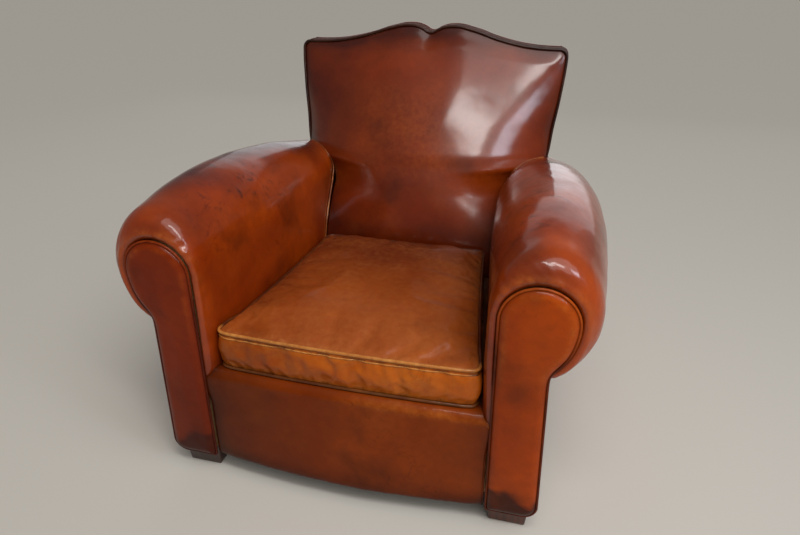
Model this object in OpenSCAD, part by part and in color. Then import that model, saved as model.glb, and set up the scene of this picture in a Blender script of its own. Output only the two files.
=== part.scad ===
// Club chair with rolled arms, a shaped raked back and one loose seat cushion.
// Millimetres. +Z is up, +X is to the right of someone who faces the chair,
// and the front of the chair looks along -Y. The floor is z = 0.
// Depths inside the modules are measured from the face of the arm fronts.

/* [Feet] */
// Height of the lower edge of the arm fronts above the floor
foot_show = 44; // [30:1:70]
// Width and depth of a foot where it meets the body
foot_w = 83; // [60:1:95]
// How much narrower a foot is at the floor, on each side
foot_taper = 5; // [0:1:12]
// Distance of the front feet behind the face of the arm fronts
foot_back = 12; // [5:1:20]
// Diameter of the double-ended screw that holds each foot
foot_screw_d = 8; // [6:1:12]

/* [Arm fronts] */
// Distance from the cushion's front corners to the inner edges of the arm fronts
facing_gap = 16; // [8:1:30]
// Extra half width between the arm fronts at their lower edge
facing_lean = 8; // [0:1:15]
// Radius of the round head of an arm front
head_r = 68; // [60:1:76]
// Depth of the outer cheek of the head below its centre
head_drop = 107; // [90:1:125]
// Width of the arm front just under its head
neck_w = 97; // [85:1:105]
// Extra width of the arm front at its foot
neck_flare = 13; // [5:1:20]
// Radius of the lower outer corner of an arm front
facing_corner_r = 31; // [15:1:40]
// How far the padded face of an arm front stands out
facing_pad_t = 9; // [5:0.5:14]
// Diameter of the piping round an arm front
facing_piping_d = 5; // [3:0.5:7]

/* [Arms] */
// Height of the centre of the arm rolls above the floor
roll_z = 487; // [460:1:510]
// Greatest distance from the inner wall of an arm at its narrowest place to its outer side
arm_w = 239; // [222:1:258]
// Distance from the rear of the cushion's side to the inner wall at its narrowest place
arm_gap = 19; // [14:1:28]
// Greatest height of an arm above the centre of its roll
arm_rise = 135; // [115:1:145]
// Distance over which the front edge of an arm rounds
arm_round = 45; // [30:1:60]
// Distance by which the inner wall of an arm falls back at the seat
wall_recess = 5; // [0:1:12]

/* [Back] */
// Full width of the back over its piping, near the top
back_w = 706; // [660:1:740]
// Height of the shoulders of the back above the floor
shoulder_z = 803; // [760:1:850]
// Rise of the two lobes of the crest above the shoulders
crest_rise = 46; // [30:1:60]
// Radius of the upper corners of the back
back_corner_r = 21; // [12:1:28]
// Clear distance between the cushion and the padded back
back_gap = 5.3; // [4:0.1:12]
// Lean of the back from upright, in degrees
back_rake = 11.5; // [9:0.5:14]
// Thickness of the back at its edge
back_depth = 50; // [45:1:60]
// Greatest swell of the padded back in front of its edge
back_swell = 152; // [130:1:156]
// Diameter of the piping round the back
back_piping_d = 7; // [5:0.5:9]

/* [Seat] */
// Height of the seat deck above the floor
deck_z = 274; // [255:1:290]
// How far the front border bows out at its lower edge
border_bow = 22; // [5:1:30]
// How far the front border bows out at its upper edge
border_bow_top = 6; // [0:1:12]
// Radius of the upper edge of the front border
border_r = 22; // [12:1:30]
// Distance of the lower edge of the border above that of the arm fronts
border_step = 8; // [2:1:15]

/* [Cushion] */
// Width of the cushion at its front
cushion_w = 530; // [490:1:534]
// Width of the cushion at its back
cushion_back_w = 416; // [390:1:420]
// Depth of the cushion from front to back
cushion_len = 508; // [490:1:512]
// Distance of the cushion's front corners behind the face of the arm fronts
cushion_y = 16; // [10:1:20]
// Height of the cushion from its underside to its upper piping
cushion_h = 85; // [70:1:95]
// Crown of the top of the cushion above its upper piping
cushion_crown = 27; // [15:1:35]
// How far the sides of the cushion are drawn in between the corners
cushion_draw = 5; // [1:1:8]
// Diameter of the piping round the cushion
cushion_piping_d = 8; // [6:0.5:10]
// Radius of the corners of the cushion, seen from above
cushion_corner_r = 20; // [14:1:30]

/* [Zip] */
// Length of the zip in the back of the cushion
zip_len = 300; // [240:5:320]
// Height of the zip tape
zip_h = 26; // [20:1:30]
// Width of the zip slider, along the zip
slider_w = 9; // [7:0.5:12]
// Height of the zip slider
slider_h = 10; // [8:0.5:14]
// Length of the zip pull
pull_len = 20; // [15:1:24]

/* [Hidden] */

// Thickness of the leather with its lining of wadding
cover_t = 3;
// Gap between two pieces that lie against each other
fit_gap = 0.3;
// How far a cut runs past what it cuts
overrun = 20;
// How far the covers of the arms and back reach below the deck
tuck_drop = 14;

// Thickness of the boards of the frame
board_t = 25;
// Thickness and height of the seat rails
rail_t = 27;
rail_h = 110;
// Height of the lower edge of the frame above that of the arm fronts
frame_step = 16;
// Width of the posts behind the arm fronts, and height of the blocks under them
post_w = 34;
block_h = 40;
// Height of the posts below the centre of the rolls
post_drop = 12;
// Width and height of the upper arm rails
arm_rail_w = 30;
arm_rail_h = 20;
// Thickness of the pads on the arms
arm_pad_t = 26;
// Height of the tacking rails
tack_h = 40;
// Gap between the edge plane of the back and the wood behind its pad
crest_setback = 12;
// Depth of the crest rail below the shoulders
crest_low = 100;
// Width of the posts of the back, from their inner edge to the piping
back_post_w = 78;

// Thickness and width of the webbing, and height of its lower face over the frame's lower edge
web_t = 2;
web_w = 50;
web_lift = 10;
// Wire, end radius, waist radius and turns of the seat springs
wire_d = 4;
coil_r = 40;
waist_r = 27;
coil_turns = 4;
// Thickness of the sacking, the deck pad and the dust cover
hessian_t = 1.5;
deck_pad_t = 30;
dust_t = 1;

// Thickness of the zip tape, of the slider's plate and of the pull, and the pull's width and pin
tape_t = 1.2;
slider_floor_t = 0.8;
pull_t = 1.2;
pull_w = 5;
pull_pin_d = 1.6;

// Places along an arm as shares of its length, each with a share of the size named. Those of its
// inner wall are shares of the way from its narrowest place out to the arm fronts' inner edges.
arm_out_shares = [
    [0, 0.946], [0.135, 0.981], [0.27, 0.994], [0.405, 1], [0.54, 0.996], [0.676, 0.974],
    [0.81, 0.94], [0.88, 0.906], [0.945, 0.854], [0.98, 0.815], [1, 0.777]
];
arm_in_shares = [
    [0, 0.794], [0.135, 0.593], [0.27, 0.37], [0.405, 0.185], [0.54, 0.076], [0.676, 0],
    [0.81, 0.147], [0.88, 0.336], [0.945, 0.525], [1, 0.715]
];
arm_rise_shares = [
    [0, 0.77], [0.135, 0.955], [0.27, 1], [0.405, 0.963], [0.54, 0.866], [0.676, 0.739],
    [0.81, 0.56], [0.88, 0.47], [0.945, 0.38], [1, 0.306]
];
// Depth of the outer cheek of a roll as a share of its rise
roll_drop_share = 0.9;
// Height at which the back comes out of the arms, over the roll's centre, as a share of the rise there
arm_meet_share = 1.1;
// Place of that height in the back's table of widths, as a share
back_meet_share = 0.66307;
// Least and greatest distance of a roll's lower edge from its middle, as shares of its half width
cheek_low_share = 0.05;
cheek_high_share = 0.95;
// Rows of an outside panel between its lower corner, its upper edge and the height halfway
panel_row_share = 0.4;
// Steps of the padded face of an arm front, as shares of its thickness: where it starts to round,
// and how far it stands out and has rounded in at its shoulder
pad_start_share = 1 / 3;
pad_shoulder_share = 3 / 4;
pad_round_share = 1 / 4;
// Plan of the outside of the arms, as shares of the arm fronts' outer edge
panel_shares = [
    [0, 1], [0.27, 1.015], [0.405, 1.02], [0.54, 1.015], [0.676, 0.99], [0.81, 0.96],
    [0.88, 0.935], [0.945, 0.905], [1, 0.87]
];
// Rows of an arm between the end of its rounded front edge and its rear end
arm_row_shares = [0, 0.09, 0.2, 0.32, 0.45, 0.58, 0.7, 0.8, 0.87, 0.93, 0.97, 1];
// Angles of the rows that round the front edge of an arm
round_angles = [0, 22, 45, 66];

// Heights on the back as shares of the shoulders' height, with shares of its half width
back_half_shares = [
    [0, 0.66], [0.5, 0.657], [0.57, 0.66], [0.6, 0.7], [0.63, 0.8], [0.655, 0.928],
    [0.77, 0.96], [0.86, 0.984], [0.97, 1], [1, 1]
];
// Crest of the back: shares of its half width, with shares of its rise
crest_shares = [
    [0, 0.64], [0.02, 0.67], [0.05, 0.8], [0.09, 0.92], [0.13, 0.985], [0.18, 1], [0.23, 0.965],
    [0.29, 0.86], [0.36, 0.73], [0.45, 0.5], [0.58, 0.25], [0.7, 0.09], [0.8, 0.02], [0.9, 0], [1, 0]
];
// Swell of the back: shares of its height, with shares of its swell
swell_shares = [
    [0, 0.985], [0.15, 1], [0.3, 0.968], [0.4, 0.91], [0.5, 0.8], [0.6, 0.66], [0.7, 0.51],
    [0.8, 0.345], [0.9, 0.17], [0.96, 0.08], [1, 0]
];
// The swell that is left at the sides of the back, between and above the arms
side_swell_shares = [[0, 0.93], [0.3, 0.93], [0.38, 0.82], [0.44, 0.5], [0.5, 0.08], [0.54, 0], [1, 0]];
// Power of the swell across the back
swell_power = 2.4;
// Power that fades the lobes of the crest out, down the padded back
crest_power = 6;
// Rows and columns of the padded back, as shares of the shoulders' height and of its half width
back_row_shares = [0, 0.4, 0.5, 0.57, 0.6, 0.63, 0.655, 0.715, 0.77, 0.815, 0.86, 0.915, 0.97, 0.985, 1];
back_col_shares = [0, 0.02, 0.05, 0.09, 0.13, 0.18, 0.25, 0.36, 0.45, 0.58, 0.7, 0.8];

// Sides, front and rear of the cushion's outline, as shares of its depth and of its half widths
cushion_side_shares = [0.15, 0.3, 0.45, 0.6, 0.75, 0.88];
cushion_front_shares = [0, 0.25, 0.5, 0.75];
cushion_rear_shares = [0.6, 0.2];
// Rings of the cushion's crown and of its filling, as shares of the outline, and the crown's power
crown_shares = [0.93, 0.82, 0.66, 0.46, 0.24];
core_crown_shares = [0.8, 0.5];
crown_power = 2.2;
// Power of the waist of a spring
coil_power = 1.5;
// How far the foot screws reach into the corner blocks, as a share of the blocks
screw_reach_share = 0.75;

// Half of the clear widths between the arm fronts and between the arms, and half of the width over both
facing_in = cushion_w / 2 + facing_gap;
arm_in = cushion_back_w / 2 + arm_gap;
arm_out = arm_in + arm_w;
// Middle of the heads of the arm fronts, and their outer edges at the neck and foot
head_x = facing_in + head_r;
neck_x = facing_in + neck_w;
flank_x = neck_x + neck_flare;
facing_low_z = foot_show;
border_low_z = foot_show + border_step;
frame_z = foot_show + frame_step;

// Lower edge of the arm and back covers, behind the seat
tuck_z = deck_z - tuck_drop;
// Lean of the back, and the places of its edge plane at the floor and at the shoulders
rake_slope = tan(back_rake);
deck_swell = back_swell * lookup((deck_z - tuck_z) / (shoulder_z - tuck_z), swell_shares);
back_foot_y = cushion_y + cushion_len + back_gap + deck_swell - deck_z * rake_slope;
back_y = back_foot_y + shoulder_z * rake_slope;
wood_t = back_depth - crest_setback - cover_t - fit_gap;
arm_len = back_edge_y(roll_z + arm_rise * arm_rise_shares[len(arm_rise_shares) - 1][1]) + back_depth;
// Rearmost and foremost depths, and the middle between them
rear_y = back_edge_y(shoulder_z + crest_rise) + back_depth;
middle_y = (rear_y - border_bow) / 2;

leather = [0.50, 0.22, 0.09];
leather_dark = [0.20, 0.10, 0.06];
leather_tan = [0.58, 0.31, 0.15];
beech = [0.80, 0.66, 0.47];
foot_wood = [0.16, 0.09, 0.06];
jute = [0.66, 0.54, 0.36];
hair = [0.30, 0.25, 0.20];
steel = [0.55, 0.55, 0.57];

// Straight blend between a and b
function mix(a, b, t) = a + (b - a) * t;
// The numbers from 0 to 1 in n equal steps
function steps(n) = [for (i = [0:n]) i / n];
function at(r, c, cols) = r * cols + c;
// The two triangles of a four-cornered patch
function patch(a, b, c, d) = [[a, b, c], [a, c, d]];
function joined(lists) = [for (l = lists) for (p = l) p];
function unit(v) = v / norm(v);
function reversed(l) = [for (i = [len(l) - 1:-1:0]) l[i]];

// A closed solid between two grids of points with the same rows and columns
module slab(a, b) {
    rows = len(a);
    cols = len(a[0]);
    n = rows * cols;
    body = joined([for (r = [0:rows - 2]) for (c = [0:cols - 2])
        concat(
            patch(at(r, c, cols), at(r, c + 1, cols), at(r + 1, c + 1, cols), at(r + 1, c, cols)),
            patch(n + at(r, c, cols), n + at(r + 1, c, cols),
                n + at(r + 1, c + 1, cols), n + at(r, c + 1, cols))
        )]);
    last_row = at(rows - 1, 0, cols);
    ends = joined([for (c = [0:cols - 2])
        concat(
            patch(c, n + c, n + c + 1, c + 1),
            patch(last_row + c, last_row + c + 1, n + last_row + c + 1, n + last_row + c)
        )]);
    sides = joined([for (r = [0:rows - 2])
        concat(
            patch(at(r, 0, cols), at(r + 1, 0, cols), n + at(r + 1, 0, cols), n + at(r, 0, cols)),
            patch(at(r, cols - 1, cols), n + at(r, cols - 1, cols),
                n + at(r + 1, cols - 1, cols), at(r + 1, cols - 1, cols))
        )]);
    polyhedron(concat(joined(a), joined(b)), concat(body, ends, sides), convexity = 8);
}

// The end of a loft, from strips between the first and last points of its ring, then the next ones
function cap(n, first, flip) = joined([for (i = [0:floor((n - 3) / 2)])
    let (a = first + i, b = a + 1, d = first + n - 1 - i, c = d - 1)
    c > b ? (flip ? patch(d, c, b, a) : patch(a, b, c, d)) : [flip ? [d, b, a] : [a, b, d]]]);

// A closed solid through a list of rings with the same number of points, flat at both ends
module ring_loft(rings) {
    n = len(rings[0]);
    last = (len(rings) - 1) * n;
    walls = joined([for (r = [0:len(rings) - 2]) for (c = [0:n - 1])
        patch(at(r, c, n), at(r, (c + 1) % n, n), at(r + 1, (c + 1) % n, n), at(r + 1, c, n))]);
    polyhedron(joined(rings), concat(walls, cap(n, 0, true), cap(n, last, false)), convexity = 6);
}

// A closed solid through rings that shrink to a point at both ends
module ring_ball(first, rings, end) {
    n = len(rings[0]);
    last = (len(rings) - 1) * n;
    tip = len(rings) * n;
    walls = joined([for (r = [0:len(rings) - 2]) for (c = [0:n - 1])
        patch(at(r, c, n), at(r, (c + 1) % n, n), at(r + 1, (c + 1) % n, n), at(r + 1, c, n))]);
    caps = [for (c = [0:n - 1]) each [[tip, (c + 1) % n, c], [tip + 1, last + c, last + (c + 1) % n]]];
    polyhedron(concat(joined(rings), [first, end]), concat(walls, caps), convexity = 6);
}

// One ring of a round tube at p, square to the direction d, with a reference direction up
function tube_ring(p, d, up, r, sides) =
    let (side = unit(cross(up, d)), top = cross(unit(d), side))
    [for (k = [0:sides - 1]) p + r * (cos(360 * k / sides) * side - sin(360 * k / sides) * top)];

// A round tube along a path that is open
module open_tube(path, r, sides, up) {
    n = len(path);
    ring_loft([for (i = [0:n - 1])
        tube_ring(path[i], path[min(i + 1, n - 1)] - path[max(i - 1, 0)], up, r, sides)]);
}

// A round tube along a path that closes on itself
module loop_tube(path, r, sides, up) {
    n = len(path);
    rings = [for (i = [0:n - 1])
        tube_ring(path[i], path[(i + 1) % n] - path[(i + n - 1) % n], up, r, sides)];
    walls = joined([for (i = [0:n - 1]) for (c = [0:sides - 1])
        patch(at(i, c, sides), at(i, (c + 1) % sides, sides),
            at((i + 1) % n, (c + 1) % sides, sides), at((i + 1) % n, c, sides))]);
    polyhedron(joined(rings), walls, convexity = 6);
}

// Puts a piece that is measured from the arm fronts in the chair's own frame
module place() {
    translate([0, -middle_y, 0]) children();
}

// The left piece of a pair is the right one seen in a mirror
module left() {
    mirror([1, 0, 0]) children();
}

module both() {
    children();
    left() children();
}

// Depth of the edge plane of the back at the height z
function back_edge_y(z) = back_foot_y + z * rake_slope;

// Lays flat work, drawn in x and z, into the leaning plane of the back. Its depth behind the
// edge plane and its thickness are measured along y.
module in_back(depth, t) {
    translate([0, back_foot_y + depth, 0])
        rotate([90 - back_rake, 0, 0])
            mirror([0, 0, 1])
                linear_extrude(t * cos(back_rake))
                    children();
}

// A point of the back's outline in the leaning plane
function leaned(p) = [p[0], p[1] / cos(back_rake)];

// Everything further back than a plane that leans with the back
module behind_back(depth) {
    translate([-2 * arm_out, back_foot_y + depth, 0])
        rotate([-back_rake, 0, 0])
            translate([0, 0, -2 * overrun])
                cube([4 * arm_out, back_y, 2 * shoulder_z]);
}

// Arm fronts

// Half width of the outer edge of the arm fronts at the height z
function flank(z) =
    let (up = (z - facing_low_z) / (roll_z - head_drop - facing_low_z))
    mix(flank_x, neck_x, min(1, max(0, up)));

// Outline of the right arm front, in x and z, drawn in by d
function facing_outline(d) =
    let (
        r = head_r - d,
        turn = acos((neck_x - d - head_x) / r),
        notch_z = roll_z - (head_drop - d) * sin(turn),
        corner_z = facing_low_z + facing_corner_r,
        corner_x = flank_x - facing_corner_r
    )
    concat(
        [for (t = steps(3)) [facing_in + facing_lean * (1 - t) + d, mix(facing_low_z + d, roll_z, t)]],
        [for (a = [165:-15:0]) [head_x + r * cos(a), roll_z + r * sin(a)]],
        [for (t = steps(5)) if (t > 0)
            [head_x + r * cos(turn * t), roll_z - (head_drop - d) * sin(turn * t)]],
        [for (t = steps(3)) if (t > 0)
            let (z = mix(notch_z, corner_z, t)) [mix(neck_x, flank_x, t) - d, z]],
        [for (a = [-22.5:-22.5:-90]) [corner_x + (facing_corner_r - d) * cos(a),
            corner_z + (facing_corner_r - d) * sin(a)]]
    );

function at_depth(outline, y) = [for (p = outline) [p[0], y, p[1]]];

module right_facing() {
    rest = facing_piping_d + fit_gap;
    ring_loft([
        at_depth(facing_outline(rest), cover_t),
        at_depth(facing_outline(rest), -facing_pad_t * pad_start_share),
        at_depth(facing_outline(rest + facing_pad_t * pad_round_share), -facing_pad_t * pad_shoulder_share),
        at_depth(facing_outline(rest + facing_pad_t), -facing_pad_t)
    ]);
}

module right_facing_piping() {
    r = facing_piping_d / 2;
    loop_tube(at_depth(facing_outline(r), 0), r, 5, [0, 1, 0]);
}

module right_arm_board() {
    translate([0, cover_t + fit_gap + board_t, 0])
        rotate([90, 0, 0])
            linear_extrude(board_t)
                difference() {
                    polygon(facing_outline(2 * cover_t));
                    square([arm_out, frame_z]);
                }
}

// Arms

board_back_y = cover_t + fit_gap + board_t + fit_gap;
arm_front_y = facing_piping_d / 2 + fit_gap;

function arm_share(y) = min(1, max(0, y / arm_len));
function arm_half_in(y) = mix(arm_in, facing_in, lookup(arm_share(y), arm_in_shares));
function arm_half_out(y) = arm_out * lookup(arm_share(y), arm_out_shares);
function arm_lift(y) = arm_rise * lookup(arm_share(y), arm_rise_shares);
// How far the lower corner of the body rounds in at the height z
function corner_in(z) =
    let (over = facing_low_z + facing_corner_r - z)
    over <= 0 ? 0 : facing_corner_r - sqrt(pow(facing_corner_r, 2) - pow(min(over, facing_corner_r), 2));
// Half width of the outside panels
function panel_x(y, z) = flank(z) * lookup(arm_share(y), panel_shares) - corner_in(z);
// Half width between the inner walls of the arms, at the depth y and height z
function wall_x(y, z) = arm_half_in(y) + wall_recess * pow(max(0, (roll_z - z) / (roll_z - tuck_z)), 2);

// The section of an arm: inner and outer half widths, rise, drop and the place of its outside panel
function full_section(y) = [arm_half_in(y), arm_half_out(y), arm_lift(y),
    roll_drop_share * arm_lift(y), panel_x(y, roll_z - head_drop), wall_recess];
facing_section = [facing_in, head_x + head_r, head_r, head_drop, neck_x, facing_lean];

// Angle that the outer cheek of a roll turns through, from the place of its lower edge
function cheek_turn(place) = acos(min(cheek_high_share, max(cheek_low_share, place)));

// Points of one section, from the seat up the inner wall and over the roll, drawn in by d,
// with one point for each step of the angle round the roll
function section_points(s, y, d, step) =
    let (
        x_in = s[0] + d,
        x_out = s[1] - d,
        mid = (x_in + x_out) / 2,
        r = (x_out - x_in) / 2,
        turn = cheek_turn((s[4] - d - mid) / r)
    )
    concat(
        [for (t = steps(4)) if (t < 1)
            [x_in + s[5] * pow(1 - t, 2), y, mix(tuck_z, roll_z, t)]],
        [for (a = [180:-step:0]) [mid + r * cos(a), y, roll_z + (s[2] - d) * sin(a)]],
        [for (t = steps(4)) if (t > 0)
            [mid + r * cos(turn * t), y, roll_z - (s[3] - d) * sin(turn * t)]]
    );

// The grid of an arm's surface, drawn in by d
function arm_grid(d, step = 18) = concat(
    [for (a = round_angles)
        section_points(
            mix(facing_section, full_section(arm_round), sin(a)),
            arm_front_y + d + (arm_round - arm_front_y - d) * (1 - cos(a)), d, step)],
    [for (t = arm_row_shares)
        let (y = mix(arm_round, arm_len, t)) section_points(full_section(y), y, d, step)]
);

// Everything that the padded back and its posts take up, with a gap of d
module back_room(d) {
    padded = back_grid(-d, -d);
    slab(flat_grid(padded, back_depth + overrun), padded);
    in_back(-back_piping_d / 2 - d, back_depth + overrun)
        polygon([for (p = crest_outline(-d, arm_meet_z - d)) leaned(p)]);
    in_back(crest_setback - d, back_depth + overrun) polygon([for (p = post_outline(-d)) leaned(p)]);
    left() in_back(crest_setback - d, back_depth + overrun) polygon([for (p = post_outline(-d)) leaned(p)]);
    across = back_half - back_post_w + overrun;
    in_back(crest_setback - d, back_depth + overrun)
        polygon([[-across, 0], [across, 0], [across, roll_z], [-across, roll_z]]);
    behind_back(back_depth - cover_t - d);
}

module right_arm_cover() {
    difference() {
        slab(arm_grid(cover_t), arm_grid(0));
        back_room(fit_gap);
    }
}

module right_arm_pad() {
    inset = cover_t + fit_gap;
    difference() {
        slab(arm_grid(inset + arm_pad_t, 36), arm_grid(inset, 36));
        back_room(fit_gap);
        cube([arm_out, board_back_y, shoulder_z]);
        arm_top_rail_room(fit_gap);
    }
}

// Height of the lower edge of the roll, where the outside panel starts
function roll_foot_z(y) =
    let (
        s = full_section(y),
        mid = (s[0] + s[1]) / 2,
        r = (s[1] - s[0]) / 2,
        turn = cheek_turn((s[4] - mid) / r)
    )
    roll_z - s[3] * sin(turn);

function panel_top_z(y) = y < arm_round
    ? mix(roll_z - head_drop * sin(acos((neck_x - head_x) / head_r)), roll_foot_z(arm_round),
        sin(90 * max(0, y) / arm_round))
    : roll_foot_z(y);

function panel_grid(d) =
    [for (t = steps(14))
        let (
            y = mix(arm_front_y, arm_len, t),
            low = border_low_z,
            corner = facing_low_z + facing_corner_r,
            top = panel_top_z(y) - 3 * fit_gap
        )
        [for (z = [low, mix(low, corner, panel_row_share), corner, (corner + top) / 2, top])
            [panel_x(y, z) - d, y, z]]];

module right_outside_arm() {
    difference() {
        slab(panel_grid(0), panel_grid(cover_t));
        behind_back(back_depth - cover_t - fit_gap);
    }
}

// Back

back_half = back_w / 2;
back_cover_inset = back_piping_d + 2 * fit_gap;

// Height at which the outline of the back comes out of the arms
arm_meet_z = roll_z + arm_lift(arm_len) * arm_meet_share;

// A height on the back as a share for its table of widths: it follows the arms up to where they
// meet the back, and the shoulders above
function back_share(z) = z < arm_meet_z ? back_meet_share * z / arm_meet_z
    : mix(back_meet_share, 1, (z - arm_meet_z) / (shoulder_z - arm_meet_z));

function back_share_z(share) = share < back_meet_share ? arm_meet_z * share / back_meet_share
    : mix(arm_meet_z, shoulder_z, (share - back_meet_share) / (1 - back_meet_share));

// Half width of the padded back at the height z
function back_x(z) =
    let (
        half = back_half * lookup(back_share(z), back_half_shares),
        over = z - (shoulder_z - back_corner_r)
    )
    over <= 0 ? half
        : half - back_corner_r + sqrt(max(0, pow(back_corner_r, 2) - pow(min(over, back_corner_r), 2)));

// Height of the crest at a share of the half width
function crest_z(u) =
    let (share = abs(u) * (back_half - back_corner_r) / back_half)
    shoulder_z + crest_rise * lookup(share, crest_shares);

// Height of a point of the padded back: only its uppermost rows follow the lobes of the crest
function back_row_z(u, v, d) =
    mix(tuck_z, shoulder_z, v) + (crest_z(u) - d - shoulder_z) * pow(v, crest_power);

// Columns on both sides of the middle, the last ones on the edges
back_cols =
    let (right = [for (c = back_col_shares) c * back_half / (back_half - back_corner_r)])
    concat([-1], [for (i = [len(right) - 1:-1:1]) -right[i]], right, [1]);

// The padded front of the back, drawn in by d at its edge and moved back by depth
function back_grid(d, depth) =
    [for (row = back_row_shares)
        let (
            v = max(0, (back_share_z(row) - tuck_z) / (shoulder_z - tuck_z)),
            half = back_x(mix(tuck_z, shoulder_z, v)) - d,
            swell = back_swell * lookup(v, swell_shares),
            side = lookup(v, side_swell_shares)
        )
        [for (u = back_cols)
            let (
                z = back_row_z(u, v, d),
                out = swell * (side + (1 - side) * (1 - pow(abs(u), swell_power)))
            )
            [half * u, back_edge_y(z) + depth - out, z]]];

// A grid laid flat at one depth behind the edge plane
function flat_grid(grid, depth) =
    [for (row = grid) [for (p = row) [p[0], back_edge_y(p[2]) + depth, p[2]]]];

// Outline of the back above the arms, from right to left, drawn in by d, in x and z
function crest_outline(d, low) =
    let (
        high = shoulder_z - back_corner_r,
        knots = [for (k = back_half_shares)
            let (z = back_share_z(k[0]))
            if (z > low && z < high) z],
        right = concat(
            [for (z = concat([low], knots, [high])) [back_x(z) - d, z]],
            [for (a = [22.5, 45, 67.5]) [back_half - back_corner_r + (back_corner_r - d) * cos(a),
                shoulder_z - back_corner_r + (back_corner_r - d) * sin(a)]],
            [for (i = [len(crest_shares) - 1:-1:0])
                let (u = crest_shares[i][0])
                if (u * back_half < back_half - back_corner_r)
                    [u * back_half, shoulder_z + crest_rise * crest_shares[i][1] - d]]
        )
    )
    concat(right, [for (i = [len(right) - 2:-1:0]) [-right[i][0], right[i][1]]]);

function rear_section_x(y, z) =
    let (
        s = full_section(y),
        mid = (s[0] + s[1]) / 2,
        r = (s[1] - s[0]) / 2,
        fall = z > roll_z ? (z - roll_z) / s[2] : (roll_z - z) / s[3]
    )
    mid + r * sqrt(max(0, 1 - pow(min(1, fall), 2)));

// Half width of the body at the outside of the back, at the height z
function rear_x(z) =
    let (y = back_edge_y(z) + back_depth)
    z < roll_foot_z(y) ? panel_x(y, z)
        : z < roll_z + arm_lift(y) ? max(rear_section_x(y, z), back_x(z))
        : back_x(z);

function rear_outline(d) =
    let (
        low = [for (t = steps(12))
            let (z = mix(border_low_z + d, arm_meet_z, t))
            if (t < 1) [rear_x(z) - d, z]],
        top = crest_outline(d, arm_meet_z)
    )
    concat(low, top, [for (p = reversed(low)) [-p[0], p[1]]]);

module outside_back_piece() {
    in_back(back_depth - cover_t, cover_t) polygon([for (p = rear_outline(0)) leaned(p)]);
}

// Outer edge of the back's posts: the body's edge at the arms, the back's own above them
function post_edge(z) = z < roll_z - head_drop
    ? rear_x(z) - 2 * cover_t
    : min(back_half * lookup(back_share(max(z, arm_meet_z)), back_half_shares), rear_x(z)) - 2 * cover_t;

function post_outline(d) =
    let (
        low = frame_z + wood_t * sin(back_rake),
        high = shoulder_z - crest_low - fit_gap,
        inner = back_half - back_post_w
    )
    concat(
        [[inner + d, low], [inner + d, high]],
        [for (t = steps(12)) let (z = mix(high, low, t)) [post_edge(z) - d, z]]
    );

module right_back_post() {
    in_back(crest_setback, wood_t) polygon([for (p = post_outline(0)) leaned(p)]);
}

module crest_rail_piece() {
    low = shoulder_z - crest_low;
    in_back(crest_setback, wood_t) polygon([for (p = crest_outline(2 * cover_t, low)) leaned(p)]);
}

module across_back(low, high) {
    half = back_half - back_post_w - fit_gap;
    in_back(crest_setback, wood_t)
        polygon([for (p = [[-half, low], [half, low], [half, high], [-half, high]]) leaned(p)]);
}

module inside_back_piece() {
    slab(back_grid(back_cover_inset, cover_t), back_grid(back_cover_inset, 0));
}

module back_pad_piece() {
    front = back_grid(back_cover_inset + cover_t, cover_t + fit_gap);
    slab(flat_grid(front, crest_setback - fit_gap), front);
}

function leaned_at(outline, depth) = [for (p = outline) [p[0], back_edge_y(p[1]) + depth, p[1]]];

module back_band_piece() {
    front = back_piping_d / 2 + fit_gap;
    rear = back_depth - cover_t - fit_gap;
    out = crest_outline(fit_gap, arm_meet_z + cover_t);
    in = crest_outline(fit_gap + cover_t, arm_meet_z + cover_t);
    slab(
        [leaned_at(in, rear), leaned_at(in, front)],
        [leaned_at(out, rear), leaned_at(out, front)]
    );
}

module back_piping_piece() {
    r = back_piping_d / 2;
    open_tube(leaned_at(crest_outline(r, arm_meet_z + r), 0), r, 6, [0, cos(back_rake), sin(back_rake)]);
}

// Seat

// Inner edge of the arm fronts at the height z
function facing_edge(z) = facing_in + facing_lean * (roll_z - z) / (roll_z - facing_low_z);

// Half width of the border, which meets the arm fronts and, behind them, the arms
function border_x(z, d) = (z < deck_z - border_r ? facing_edge(z) : wall_x(arm_round, z)) - fit_gap - d;

// Depth of the front of the border at the share u of its half width and the height z
function border_y(u, z) =
    let (up = (z - border_low_z) / (deck_z - border_low_z))
    cover_t * up - mix(border_bow, border_bow_top, up) * (1 - u * u);

// The front border rolls over the upper edge and runs back on to the deck
function border_grid(d) =
    let (roll_low = deck_z - border_r)
    [for (t = steps(10))
        let (u = mix(-1, 1, t), y = border_y(u, roll_low) + border_r)
        concat(
            [for (h = steps(4))
                let (z = mix(border_low_z, roll_low, h))
                [u * border_x(z, d), border_y(u, z) + d, z]],
            [for (a = [20:20:80])
                let (z = roll_low + (border_r - d) * sin(a))
                [u * border_x(z, d), y - (border_r - d) * cos(a), z]],
            [[u * border_x(deck_z, d), board_back_y + rail_t, deck_z - d]]
        )];

// The faces of the rail that the pad of the border lies against, point for point
function border_rear_grid(d) =
    let (face = board_back_y - fit_gap, rear = board_back_y + rail_t, top = rail_top + fit_gap)
    [for (row = border_grid(d))
        [for (i = [0:len(row) - 1])
            let (past = max(0, i - 2) / (len(row) - 3), up = min(1, i / 2))
            [row[i][0], mix(face, rear, past), mix(border_low_z, top, up)]]];

module front_border_piece() {
    slab(border_grid(0), border_grid(cover_t));
}

module border_pad_piece() {
    inset = cover_t + fit_gap;
    slab(border_grid(inset), border_rear_grid(inset));
}

// Floor plan points of the clear space between the arms, at the height z and inset by d
function between_arms(z, y_front, y_rear, d) =
    let (right = [for (t = steps(8)) let (y = mix(y_front, y_rear, t)) [wall_x(y, z) - d, y]])
    concat(right, [for (p = reversed(right)) [-p[0], p[1]]]);

deck_front_y = board_back_y + rail_t + fit_gap;
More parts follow.
